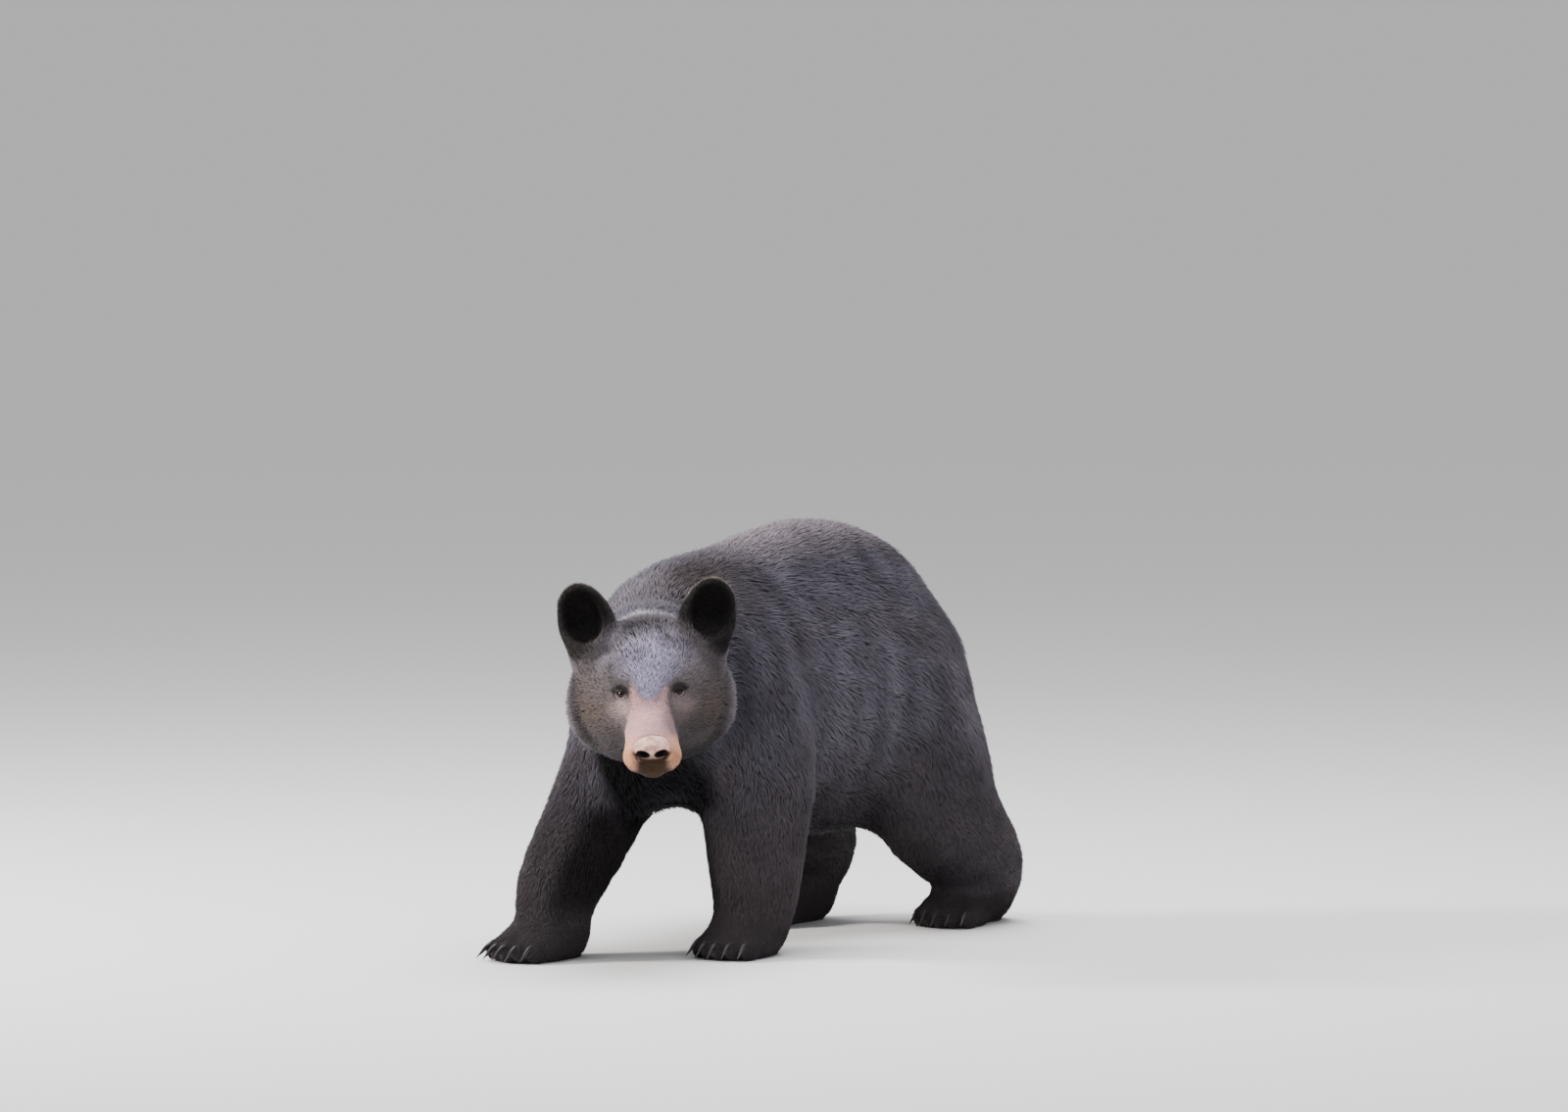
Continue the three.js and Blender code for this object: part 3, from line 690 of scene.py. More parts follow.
@dataclass(frozen=True)
class Ears:
    """Both ears: a round shell each, hollowed to a cup that faces forward."""

    name: str = "ear"
    blend: float = 10.0
    shell: Ball = Ball((0, 0, 0), (46, 23, 61))
    cup: Ball = Ball((0, -25, 5), (34, 32, 47))
    root: Taper = Taper((78, 41, 20), (98, 52, 64), (56, 46), 20)
    rim: float = 10.0
    fan: float = 0.7  # how far the coat spreads sideways towards the rim

    def near(self, points: Array) -> Array:
        """The points that this part can reach."""
        return near_head(points)

    def own(self, points: Array) -> Array:
        """Points in the left ear's frame, those of the right side folded onto it."""
        return EAR_FRAME.inside(mirrored(HEAD_FRAME.inside(points)))

    def distance(self, points: Array) -> Array:
        """Distance from each point to this part.

        Args:
            points: places in millimetres.

        Returns:
            Distances, below zero inside.
        """
        folded = mirrored(HEAD_FRAME.inside(points))
        in_ear = EAR_FRAME.inside(folded)
        solid = soften(self.shell.distance(in_ear), self.root.distance(folded), self.root.soft)
        return hollowed(solid, self.cup.distance(in_ear), self.rim) * HEAD_FRAME.size

    def flow(self, points: Array) -> Array:
        """Way the coat lies: from the root out to the rim.

        Args:
            points: places in millimetres.

        Returns:
            One direction a point.
        """
        in_ear = self.own(points)
        outward = np.tile(UP, (len(points), 1))
        outward[:, 0] = self.fan * in_ear[:, 0] / self.shell.radii[0]
        flow = EAR_FRAME.turned(outward)
        flow[:, 0] *= np.where(HEAD_FRAME.inside(points)[:, 0] < 0, -1, 1)
        return HEAD_FRAME.turned(flow)

    def lie(self, points: Array) -> Array:
        """How the coat grows at each point."""
        return np.tile(Pelt.EAR.value.row, (len(points), 1))


EARS = Ears()


def leg(name: str, knots: tuple[Knot, ...], paw: Paw) -> Leg:
    """One leg from its knots and its foot."""
    return Leg(name, Limb(name, knots, soft=7.0, blend=0.0, pelt=Pelt.SHANK, toward_tip=True, span=3), paw)


LEGS = (
    leg("foreleg_left", ((92, -310, 500, 118), (140, -285, 350, 106), (148, -300, 235, 97),
                         (146, -300, 110, 80), (142, -310, 55, 62)), Paw((140, -325), 6, False)),
    leg("foreleg_right", ((-76, -335, 500, 110), (-110, -382, 345, 94), (-124, -432, 245, 90),
                          (-132, -520, 130, 79), (-130, -550, 60, 62)), Paw((-128, -575), -6, False)),
    leg("hindleg_left", ((76, 258, 470, 133), (138, 240, 330, 131), (150, 292, 215, 117),
                         (160, 410, 118, 85), (158, 440, 56, 54)), Paw((152, 365), 8, True)),
    leg("hindleg_right", ((-76, 215, 470, 128), (-130, 150, 330, 124), (-130, 215, 215, 114),
                          (-138, 270, 135, 92), (-146, 232, 58, 56)), Paw((-140, 165), -8, True)),
)
NECK = Limb("neck", ((0, -360, 535, 136), (70, -520, 525, 128), (130, -596, 522, 115)), soft=20.0,
            blend=70.0, pelt=Pelt.NECK, toward_tip=False)
TAIL = Limb("tail", ((0, 398, 542, 38), (0, 431, 502, 28), (0, 441, 455, 17)), soft=8.0,
            blend=20.0, pelt=Pelt.TAIL, toward_tip=True)


@dataclass(frozen=True)
class BearForm:
    """The whole body as one field, out to the tips of the coat."""

    parts: tuple = (Trunk(), NECK, *LEGS, Skull(), EARS, TAIL)
    sway: float = 16.0  # how softly the lie of the coat passes from part to part
    far: float = 500.0
    least_slope: float = 0.1  # keeps a step to the outline short where the field is flat
    least_share: float = 1e-3  # parts that count less are left out

    def distance(self, points: Array) -> Array:
        """Distance to the outline, with the floor as its lowest level.

        Args:
            points: places in millimetres.

        Returns:
            Distances, below zero inside.
        """
        total = self.parts[0].distance(points)
        for part in self.parts[1:]:
            near = part.near(points)
            if near.any():
                total[near] = soften(total[near], part.distance(points[near]), part.blend)
        return np.maximum(total, -points[:, 2])

    def slope(self, points: Array) -> tuple[Array, Array]:
        """Measures the field about each point.

        Args:
            points: places in millimetres.

        Returns:
            The distance, and its slope along x, y and z.
        """
        here = self.distance(points)
        steps = [self.distance(points + NUDGE * np.eye(3, dtype=np.float32)[k]) for k in range(3)]
        return here, np.stack([(step - here) / NUDGE for step in steps], 1)

    def settle(self, points: Array, rounds: int = 2) -> Array:
        """Moves points onto the outline.

        Args:
            points: places in millimetres.
            rounds: how many times they are moved.

        Returns:
            The moved points.
        """
        for _ in range(rounds):
            here, slope = self.slope(points)
            steep = np.maximum((slope * slope).sum(-1), self.least_slope)
            points = points - slope * (here / steep)[:, None]
        return points.astype(np.float32)

    def shares(self, points: Array) -> Array:
        """Weighs the parts of the body.

        Args:
            points: places in millimetres.

        Returns:
            How much each part counts, one column a part.
        """
        apart = np.full((len(points), len(self.parts)), self.far, np.float32)
        for column, part in enumerate(self.parts):
            near = part.near(points)
            apart[near, column] = part.distance(points[near])
        weight = np.exp(-(apart - apart.min(1, keepdims=True)) / self.sway)
        return weight / weight.sum(1, keepdims=True)

    def grown(self, points: Array) -> tuple[Array, Array, Array]:
        """Lie of the coat.

        Args:
            points: places on or near the skin.

        Returns:
            For each point the way it lies, its depth, length, width and ruffle, and the number of
            the main part.
        """
        share = self.shares(points)
        flow = np.zeros((len(points), 3), np.float32)
        lie = np.zeros((len(points), 4), np.float32)
        for column, part in enumerate(self.parts):
            used = share[:, column] > self.least_share
            if used.any():
                weight = share[used, column][:, None]
                flow[used] += weight * unit(part.flow(points[used]))
                lie[used] += weight * part.lie(points[used])
        return unit(flow), lie / np.maximum(share.sum(1, keepdims=True), 1e-6), share.argmax(1)


FORM = BearForm()


# ---- the model's frame


@dataclass(frozen=True)
class EyeSeat:
    """Where an eyeball sits, in millimetres, and the directions about it."""

    middle: Array
    outward: Array
    across: Array
    up: Array

    def own(self, points: Array) -> Array:
        """Points as steps across, up and outward from the eye's middle."""
        away = points - self.middle
        return np.stack([away @ self.across, away @ self.up, away @ self.outward], 1)


@dataclass(frozen=True)
class Eye:
    """Sizes of an eye and of the opening between its lids."""

    place: Triple = (51.5, -83, 25)  # on the surface, in the head's frame
    radius: float = 11.5
    sunk: float = 10.5
    lid: float = 1.5  # thickness over the eyeball
    opening: Span = (21.0, 11.5)  # width, height
    tilt: float = 12.0
    rounds: int = 5
    floor: float = 9.6  # how far from the eye's middle the skin lies inside the opening

    def seat(self, side: int) -> EyeSeat:
        """Finds where an eyeball sits.

        Args:
            side: 1 for the left eye, -1 for the right.

        Returns:
            The eye's seat.
        """
        local = np.array([[side * self.place[0], self.place[1], self.place[2]]], np.float32)
        on_skin = FORM.settle(HEAD_FRAME.outside(local), self.rounds)
        outward = unit(FORM.slope(on_skin)[1])[0]
        lean = np.array([side * np.sin(np.radians(self.tilt)), 0, 1], np.float32)
        across = unit(np.cross(HEAD_FRAME.turned(lean), outward))
        return EyeSeat(on_skin[0] - outward * self.sunk, outward, across, np.cross(outward, across))

    def rim(self, own: Array) -> Array:
        """Distance in plan from the edge of the opening.

        Args:
            own: places in the eye's frame.

        Returns:
            Distances, below zero between the lids.
        """
        half_wide, half_high = self.opening[0] / 2, self.opening[1] / 2
        across = np.abs(own[:, 0]) / half_wide
        edge = half_high * (1 - across ** 2)
        lean = np.sqrt(1 + (2 * half_high * across / half_wide) ** 2)
        return (np.abs(own[:, 1]) - edge) / lean


EYE = Eye()
EYE_SEATS = {"left": EYE.seat(1), "right": EYE.seat(-1)}


def model_shift() -> Array:
    """Reads the body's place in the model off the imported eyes.

    Returns:
        Millimetres from the body's own frame to the model's.
    """
    gaps = []
    for side, seat in EYE_SEATS.items():
        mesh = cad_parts[f"eye_{side}"].data
        places = np.zeros(len(mesh.vertices) * 3, np.float32)
        mesh.vertices.foreach_get("co", places)
        gaps.append(places.reshape(-1, 3).mean(0) / MM - seat.middle)
    return np.mean(gaps, 0) * np.array([1, 1, 0])


SHIFT = model_shift()


def to_model(points: Array) -> Array:
    """Places in millimetres of the body's frame, in metres of the model's."""
    return (points + SHIFT) * MM


# ---- meshes


@dataclass
class Net:
    """Triangles over points, in millimetres."""

    points: Array
    triangles: Array

    def normals(self) -> Array:
        """Finds which way the surface faces.

        Returns:
            Outward direction at each point.
        """
        a, b, c = (self.points[self.triangles[:, k]] for k in range(3))
        facing = np.cross(b - a, c - a)
        total = np.zeros((len(self.points), 3))
        for axis in range(3):
            for corner in range(3):
                total[:, axis] += np.bincount(self.triangles[:, corner], facing[:, axis],
                                              len(self.points))
        return unit(total).astype(np.float32)

    def refined(self, marked: Array) -> tuple["Net", Array]:
        """The net with each marked triangle split in four and its neighbours split to match.

        Args:
            marked: which triangles to split.

        Returns:
            The new net, and the numbers of its new points.
        """
        count = len(self.points)
        corners = self.triangles.astype(np.int64)
        ahead = np.roll(corners, -1, 1)
        keys = np.minimum(corners, ahead) * count + np.maximum(corners, ahead)
        edges, edge_of = np.unique(keys, return_inverse=True)
        edge_of = edge_of.reshape(-1, 3)
        split = np.zeros(len(edges), bool)
        split[edge_of[marked].ravel()] = True
        middle_of = np.full(len(edges), -1, np.int64)
        middle_of[split] = count + np.arange(split.sum())
        first, last = np.divmod(edges[split], count)
        points = np.vstack([self.points, (self.points[first] + self.points[last]) / 2])
        middles = middle_of[edge_of]
        cuts = (middles >= 0).sum(1)
        out = [corners[cuts == 0]]
        for wanted in (1, 2, 3):
            rows = cuts == wanted
            start = (middles[rows] >= 0).argmax(1)
            if wanted == 2:
                start = ((middles[rows] < 0).argmax(1) + 1) % 3
            order = (np.arange(3) + start[:, None]) % 3
            a, b, c = np.take_along_axis(corners[rows], order, 1).T
            ab, bc, ca = np.take_along_axis(middles[rows], order, 1).T
            if wanted == 1:
                faces = [(a, ab, c), (ab, b, c)]
            elif wanted == 2:
                faces = [(ab, b, bc), (a, ab, bc), (a, bc, c)]
            else:
                faces = [(a, ab, ca), (ab, b, bc), (ca, bc, c), (ab, bc, ca)]
            out += [np.stack(face, 1) for face in faces]
        return Net(points.astype(np.float32), np.vstack(out)), np.arange(count, len(points))


def contour(distance: Callable[[Array], Array], low: Array, high: Array, step: float, block: int = 4,
            reach: float = 1.25, outside: float = 50.0) -> Net:
    """Net over the surface of a field, whose values are worked out near that surface only.

    Args:
        distance: the field, from points to distances.
        low: lowest corner of the space it lies in.
        high: highest corner.
        step: size of a cell.
        block: cells in a block, which is left out where the surface is far.
        reach: how far that is, in blocks.
        outside: value beyond the space.

    Returns:
        The net, with its faces looking out.
    """
    blocks = np.ceil((high - low) / (step * block)).astype(int)
    spots = np.stack(np.meshgrid(*[np.arange(n) for n in blocks], indexing="ij"), -1).reshape(-1, 3)
    middles = low + (spots + 0.5) * block * step
    rough = distance(middles.astype(np.float32))
    values = np.kron(rough.reshape(blocks), np.ones((block,) * 3, np.float32))
    near = spots[np.abs(rough) < reach * block * step]
    cell = np.stack(np.meshgrid(*[np.arange(block)] * 3, indexing="ij"), -1).reshape(-1, 3)
    index = (near[:, None] * block + cell).reshape(-1, 3)
    values[tuple(index.T)] = distance((low + index * step).astype(np.float32))
    grid = openvdb.FloatGrid(background=outside)
    grid.copyFromArray(values.astype(np.float32))
    points, quads = grid.convertToQuads(0.0)
    quads = quads.astype(np.int64)
    triangles = np.vstack([quads[:, [0, 1, 2]], quads[:, [0, 2, 3]]])
    return Net((low + points * step).astype(np.float32), triangles)


def placed(name: str, data: bpy.types.ID) -> Object:
    """Puts a mesh, a lamp or a camera in the scene.

    Args:
        name: what the object is called.
        data: what it shows.

    Returns:
        The new object.
    """
    obj = bpy.data.objects.new(name, data)
    bpy.context.scene.collection.objects.link(obj)
    return obj


def mesh_object(name: str, net: Net, material: Material) -> Object:
    """Makes a smooth-shaded mesh that rides on the model.

    Args:
        name: what the object is called.
        net: its points and triangles.
        material: what it is made of.

    Returns:
        The new object.
    """
    mesh = bpy.data.meshes.new(name)
    mesh.vertices.add(len(net.points))
    mesh.vertices.foreach_set("co", to_model(net.points).astype(np.float32).ravel())
    mesh.loops.add(net.triangles.size)
    mesh.loops.foreach_set("vertex_index", net.triangles.astype(np.int32).ravel())
    mesh.polygons.add(len(net.triangles))
    mesh.polygons.foreach_set("loop_start", np.arange(0, net.triangles.size, 3, dtype=np.int32))
    mesh.polygons.foreach_set("use_smooth", np.ones(len(net.triangles), bool))
    mesh.update(calc_edges=True)
    mesh.materials.append(material)
    obj = placed(name, mesh)
    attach(obj, "root")
    return obj


def set_tone(obj: Object, tones: Array) -> None:
    """Writes a linear colour for each point of a mesh.

    Args:
        obj: the mesh object.
        tones: one colour a point.
    """
    layer = obj.data.attributes.new("tone", "FLOAT_COLOR", "POINT")
    rows = np.ones((len(tones), 4), np.float32)
    rows[:, :3] = tones
    layer.data.foreach_set("color", rows.ravel())


def set_number(obj: Object, name: str, values: Array) -> None:
    """Writes a number for each point of a mesh."""
    layer = obj.data.attributes.new(name, "FLOAT", "POINT")
    layer.data.foreach_set("value", values.astype(np.float32))


def set_bake_map(obj: Object, places: Array) -> None:
    """Writes the map that the finish is baked through, one place for each corner of a face."""
    layer = obj.data.uv_layers.new(name="OFBake")
    layer.data.foreach_set("uv", places.astype(np.float32).ravel())


@dataclass(frozen=True)
class Unwrap:
    """Flat layout of the skin: each part of the body is laid out from its six sides.

    The sides of the parts fill the cells of the square from 0 to 1, row by row.
    """

    parts: int
    sides: int = 6
    across: float = 1.5  # columns squared, for each part
    margin: float = 0.06  # of a cell, kept clear about it
    thinnest: float = 1.0  # least size that a part is laid out from
    planes: tuple[tuple[int, int], ...] = ((1, 2), (0, 2), (0, 1))  # axes of a side that faces x, y or z

    def place(self, points: Array, normals: Array, part: Array) -> Array:
        """Place on the map of each point.

        Args:
            points: places on the skin.
            normals: the way the skin faces there, which picks the side.
            part: number of each point's part.

        Returns:
            Two numbers from 0 to 1 for each point.
        """
        axis = np.abs(normals).argmax(1)
        side = axis * 2 + (np.take_along_axis(normals, axis[:, None], 1)[:, 0] > 0)
        columns = int(np.ceil(np.sqrt(self.parts * self.across)))
        rows = int(np.ceil(self.parts * self.sides / columns))
        out = np.zeros((len(points), 2))
        for number in range(self.parts):
            mine = part == number
            if not mine.any():
                continue
            low, high = points[mine].min(0), points[mine].max(0)
            share = (points[mine] - low) / np.maximum(high - low, self.thinnest)
            flat = np.take_along_axis(share, np.array(self.planes)[axis[mine]], 1)
            cell = number * self.sides + side[mine]
            corner = np.stack([cell % columns, cell // columns], 1)
            out[mine] = (corner + self.margin + (1 - 2 * self.margin) * flat) / [columns, rows]
        return out


# ---- markings, and painted light and shade


class Tone(Enum):
    """Linear colours of the coat and skin, some of them painted light and shade."""

    COAT = (0.106, 0.098, 0.121)
    # pale tone: painted light where light from above falls on the back and the top of the neck; also laid on
    # the rump's side
    BACK = (0.225, 0.192, 0.212)
    FLANK = (0.134, 0.125, 0.152)
    SHADE = (0.046, 0.043, 0.062)
    WASH = (0.070, 0.053, 0.052)
    LEGS = (0.062, 0.053, 0.056)
    # painted shade under the body and on the inner sides of the legs
    UNDER = (0.0030, 0.0026, 0.0022)
    # painted shade on the chest under the head
    CHEST = (0.0006, 0.0005, 0.0003)
    HEAD = (0.100, 0.089, 0.092)
    # painted shade under the jaw
    JOWL_SHADE = (0.009, 0.008, 0.0085)
    EAR_ROOT = (0.0125, 0.0102, 0.0088)
    CROWN = (0.170, 0.156, 0.180)
    CROWN_SHADE = (0.070, 0.060, 0.066)
    # painted highlight along the crest of the crown
    CREST_HIGHLIGHT = (0.50, 0.46, 0.52)
    SHEEN = (0.35, 0.322, 0.44)
    TEMPLE = (0.175, 0.150, 0.158)
    BROWN = (0.118, 0.090, 0.076)
    CHEEKBONE = (0.30, 0.235, 0.225)
    # painted shade in the crease between cheek and ruff
    CREASE = (0.020, 0.016, 0.017)
    # painted rim light: a paler ring along the edge of the cheek ruff
    RUFF = (0.22, 0.19, 0.215)
    MUZZLE = (0.63, 0.395, 0.385)
    MUZZLE_SHADE = (0.22, 0.165, 0.17)
    LIP = (0.64, 0.32, 0.15)
    CHIN = (0.036, 0.020, 0.006)
    PHILTRUM = (0.046, 0.026, 0.009)
    POUCH = (0.50, 0.41, 0.40)
    LID = (0.012, 0.009, 0.009)
    LID_LINE = (0.36, 0.26, 0.25)
    TEAR = (0.50, 0.36, 0.31)
    EAR_INSIDE = (0.0080, 0.0066, 0.0056)
    # painted backlight along the upper rims of the ears
    EAR_RIM = (0.34, 0.28, 0.23)
    SOLE = (0.022, 0.018, 0.017)


class On(Enum):
    """What a mask is read on, in the frame of the body, the head, an eye or an ear."""

    LEFT = "place to the left"
    SIDE = "distance from the middle"
    FRONT = "place towards the back"
    HEIGHT = "height"
    OUT = "place out from the eye"
    RISE = "facing up"
    OUTWARD = "facing a side"
    INWARD = "facing the middle"
    # distance from the middle of the chest's painted shade
    CHEST = "distance from the chest's middle"
    WASH = "slow chance pattern"
    MOTTLE = "fine chance pattern"
    RING = "distance from the cheek's middle"
    WEDGE = "place across the grey wedge's edge, -1 inside"
    FURROW = "chance furrows of the forehead"
    ARCH = "height, bent over the brow"
    MUZZLE = "place behind the pale muzzle's end"
    FLARE = "place outside the pale muzzle's sides"
    CHIN = "height, leant along the jaw"
    RIM = "place outside the eye's opening"
    LID = "place outside the dark of the lids"
    REACH = "distance from the ear's middle, 1 at its edge"
    CUP = "place outside the ear's cup"
    ROOT = "height above the slant of the ear's root"


Readings = dict[On, Array]


@dataclass(frozen=True)
class Ramp:
    """Soft passage from one value to another as a reading goes from start to end."""

    on: On
    start: float
    end: float
    first: float = 0.0
    last: float = 1.0

    def at(self, readings: Readings) -> Array:
        """Value at each point."""
        share = smoothstep(self.start, self.end, readings[self.on])
        return self.first + (self.last - self.first) * share


@dataclass(frozen=True)
class Slope:
    """Straight change from a base as a reading goes from start to end, and level beyond them."""

    on: On
    start: float
    end: float
    rise: float
    base: float = 0.0

    def at(self, readings: Readings) -> Array:
        """Value at each point."""
        low, high = sorted((self.start, self.end))
        return self.base + self.rise * (np.clip(readings[self.on], low, high) - self.start)


@dataclass(frozen=True)
class Bell:
    """Bell of height 1 about one value of a reading."""

    on: On
    middle: float
    width: float

    def at(self, readings: Readings) -> Array:
        """Value at each point."""
        return bump(readings[self.on], self.middle, self.width)


@dataclass(frozen=True)
class Both:
    """Masks multiplied together and by a share."""

    masks: tuple
    share: float = 1.0

    def at(self, readings: Readings) -> Array:
        """Multiplies the masks and the share.

        Args:
            readings: what the masks are read on.

        Returns:
            Value at each point.
        """
        total = self.share
        for mask in self.masks:
            total = total * mask.at(readings)
        return total


@dataclass(frozen=True)
class Either:
    """The strongest of several masks."""

    masks: tuple

    def at(self, readings: Readings) -> Array:
        """Value at each point."""
        return np.maximum.reduce([mask.at(readings) for mask in self.masks])


@dataclass(frozen=True)
class Patch:
    """A tone that is laid over the coat where all its masks meet."""

    tone: Tone
    masks: tuple
    share: float = 1.0


def painted(colours: Array, patches: tuple[Patch, ...], readings: Readings) -> Array:
    """Colours with patches laid over them in order.

    Args:
        colours: one linear colour a point.
        patches: what is laid on, the lowest first.
        readings: what the masks are read on, at each point.

    Returns:
        The new colours.
    """
    for patch in patches:
        mask = Both(patch.masks, patch.share).at(readings)
        colours = tinted(colours, patch.tone.value, mask)
    return colours


FORK = -117.0  # where the grey wedge of the forehead comes to its point
SIDEWAYS = Ramp(On.OUTWARD, 0.45, 0.85)
# sideways-facing coat above the legs, where the painted fold shading shows
FLANK = Both((Ramp(On.OUTWARD, 0.35, 0.8), Ramp(On.HEIGHT, 180, 300)))
CROWN_TOP = Ramp(On.HEIGHT, 40, 62)
PALE_MUZZLE = (Ramp(On.MUZZLE, 12, -9), Ramp(On.FLARE, 6, -5))
ABOUT_EYE = (Ramp(On.OUT, -6, 2), Ramp(On.SIDE, 30, 18))
ON_EAR = (Ramp(On.HEIGHT, -34, -8), Ramp(On.REACH, 1.3, 1.15))

BODY_PATCHES = (
    Patch(Tone.WASH, (Either((
        Ramp(On.WASH, 0.1, 1.2, 0.0, 0.4),
        Both((Bell(On.FRONT, -370, 115), Ramp(On.RISE, 0.2, 0.8), Bell(On.LEFT, 60, 66))))),)),
    Patch(Tone.FLANK, (SIDEWAYS, Bell(On.FRONT, -60, 150), Bell(On.HEIGHT, 520, 150))),
    Patch(Tone.SHADE, (SIDEWAYS, Bell(On.FRONT, -402, 52), Bell(On.HEIGHT, 450, 100)), 0.85),
    # the back's pale tone laid on the side of the rump
    Patch(Tone.BACK, (SIDEWAYS, Bell(On.FRONT, 275, 80), Bell(On.HEIGHT, 460, 120)), 0.35),
    # painted top light: the upward-facing back is made paler
    Patch(Tone.BACK, (Ramp(On.RISE, 0.7, 0.98), Ramp(On.HEIGHT, 560, 690), Ramp(On.FRONT, -330, -110))),
    Patch(Tone.LEGS, (Ramp(On.HEIGHT, 420, 200),), 0.92),
    # painted shade on the downward-facing surfaces of the body
    Patch(Tone.UNDER, (Ramp(On.RISE, -0.35, -0.95), Ramp(On.HEIGHT, 560, 330),
                       Ramp(On.HEIGHT, 40, 110)), 0.8),
    # painted shade on surfaces that face the body's middle, between the forelegs
    Patch(Tone.UNDER, (Ramp(On.INWARD, 0.25, 0.75), Ramp(On.HEIGHT, 480, 400), Ramp(On.HEIGHT, 60, 130),
                       Ramp(On.FRONT, -60, -160)), 0.75),
    # painted shade on the chest, where the head shades it
    Patch(Tone.CHEST, (Ramp(On.FRONT, -200, -320), Ramp(On.HEIGHT, 520, 400), Ramp(On.CHEST, 100, 60),
                       Either((Ramp(On.HEIGHT, 255, 295), Ramp(On.RISE, -0.1, -0.45))))),
    # painted top light on the upward-facing top of the neck
    Patch(Tone.BACK, (Bell(On.FRONT, -480, 75), Ramp(On.RISE, 0.5, 0.9), Bell(On.LEFT, -25, 50)), 0.45),
)
SOLE_PATCHES = (Patch(Tone.SOLE, (Ramp(On.HEIGHT, 5, 1.5), Ramp(On.RISE, -0.6, -0.9))),)
HEAD_PATCHES = (
    Patch(Tone.HEAD, (Ramp(On.FRONT, 60, -20), Ramp(On.HEIGHT, -150, -110))),
    # painted shade under the jaw, deeper on the head's left side, away from the key light
    Patch(Tone.JOWL_SHADE, (Ramp(On.HEIGHT, -62, -112), Ramp(On.HEIGHT, -200, -165), Ramp(On.FRONT, 70, 20),
                      Ramp(On.LEFT, -50, 30, 0.55, 0.95))),
    Patch(Tone.CROWN, (Ramp(On.SIDE, 88, 50), Ramp(On.FRONT, 34, 6), CROWN_TOP)),
    Patch(Tone.CROWN_SHADE, (Ramp(On.SIDE, 80, 55), Bell(On.FRONT, 47, 22), CROWN_TOP)),
    # painted highlight along the crest of the crown
    Patch(Tone.CREST_HIGHLIGHT, (Ramp(On.SIDE, 66, 38), Bell(On.FRONT, 104, 20), CROWN_TOP), 0.9),
    Patch(Tone.BROWN, (Bell(On.SIDE, 92, 44), Bell(On.FRONT, -34, 56), Bell(On.HEIGHT, -36, 48))),
    Patch(Tone.TEMPLE, (Bell(On.SIDE, 68, 44), Bell(On.FRONT, -30, 52), Bell(On.HEIGHT, 50, 42))),
    Patch(Tone.CHEEKBONE, (Bell(On.SIDE, 54, 22), Bell(On.FRONT, -84, 26), Bell(On.HEIGHT, -6, 18)), 0.9),
    # painted shade in the crease round the cheek and at the jaw's edge, deeper on the head's right side
    Patch(Tone.CREASE, (Either((
        Both((Bell(On.RING, 77, 11), Ramp(On.HEIGHT, 8, -20), Ramp(On.SIDE, 72, 100),
              Ramp(On.LEFT, 20, -20, 0.65, 0.95), Ramp(On.FRONT, -80, -45))),
        Both((Bell(On.HEIGHT, -64, 26), Bell(On.SIDE, 72, 34), Bell(On.FRONT, -50, 60)), 0.4))),)),
    # painted rim light: a paler ring along the edge of the cheek ruff
    Patch(Tone.RUFF, (Bell(On.RING, 100, 19), Ramp(On.FRONT, -25, 8), Ramp(On.HEIGHT, 40, 0),
                      Ramp(On.FRONT, 90, 50)), 0.8),
    Patch(Tone.SHEEN, (Ramp(On.WEDGE, 1, -1), Ramp(On.FRONT, FORK - 3, FORK + 7), Ramp(On.FRONT, 24, -16),
                       Ramp(On.FRONT, -60, -10, 1.0, 0.7), Ramp(On.HEIGHT, -20, 10),
                       Slope(On.FURROW, 0, 1, -0.75, 1.0)), 0.95),
    Patch(Tone.CROWN_SHADE, (
        Either((Bell(On.ARCH, 79, 5), Both((Bell(On.ARCH, 66, 5), Ramp(On.LEFT, 10, -20)), 0.8))),
        Ramp(On.SIDE, 78, 60), Ramp(On.FRONT, 30, 10)), 0.6),
    Patch(Tone.MUZZLE, PALE_MUZZLE),
    Patch(Tone.MUZZLE_SHADE, (Ramp(On.LEFT, 10, 34), Ramp(On.FRONT, -172, -140), *PALE_MUZZLE), 0.8),
    Patch(Tone.LIP, (Ramp(On.SIDE, 16, 34), Ramp(On.FRONT, -135, -165), Bell(On.HEIGHT, -34, 24),
                     *PALE_MUZZLE), 0.9),
    Patch(Tone.CHIN, (Ramp(On.CHIN, -47, -63), Ramp(On.FRONT, -92, -138))),
    Patch(Tone.PHILTRUM, (Ramp(On.MOTTLE, 0.1, 0.9), Ramp(On.FRONT, -130, -150),
                          Ramp(On.HEIGHT, -36, -46)), 0.6),
    Patch(Tone.PHILTRUM, (Ramp(On.SIDE, 34, 18), Ramp(On.FRONT, -156, -172), Ramp(On.HEIGHT, -20, -32))),
    Patch(Tone.POUCH, (Bell(On.SIDE, 45, 13), Bell(On.FRONT, -93, 13), Bell(On.HEIGHT, 10, 12),
                       Ramp(On.LEFT, 20, -20, 0.45, 0.9))),
    Patch(Tone.TEAR, (Bell(On.LEFT, -38, 9), Bell(On.FRONT, -96, 14), Bell(On.HEIGHT, 2, 10)), 0.8),
)
EYE_PATCHES = (
    Patch(Tone.LID, (Ramp(On.LID, 0, -6), *ABOUT_EYE), 0.9),
    Patch(Tone.LID_LINE, (Ramp(On.RIM, 0.0, 0.6), Ramp(On.RIM, 2.0, 1.3), Ramp(On.HEIGHT, 1, -2),
                          *ABOUT_EYE), 0.85),
)
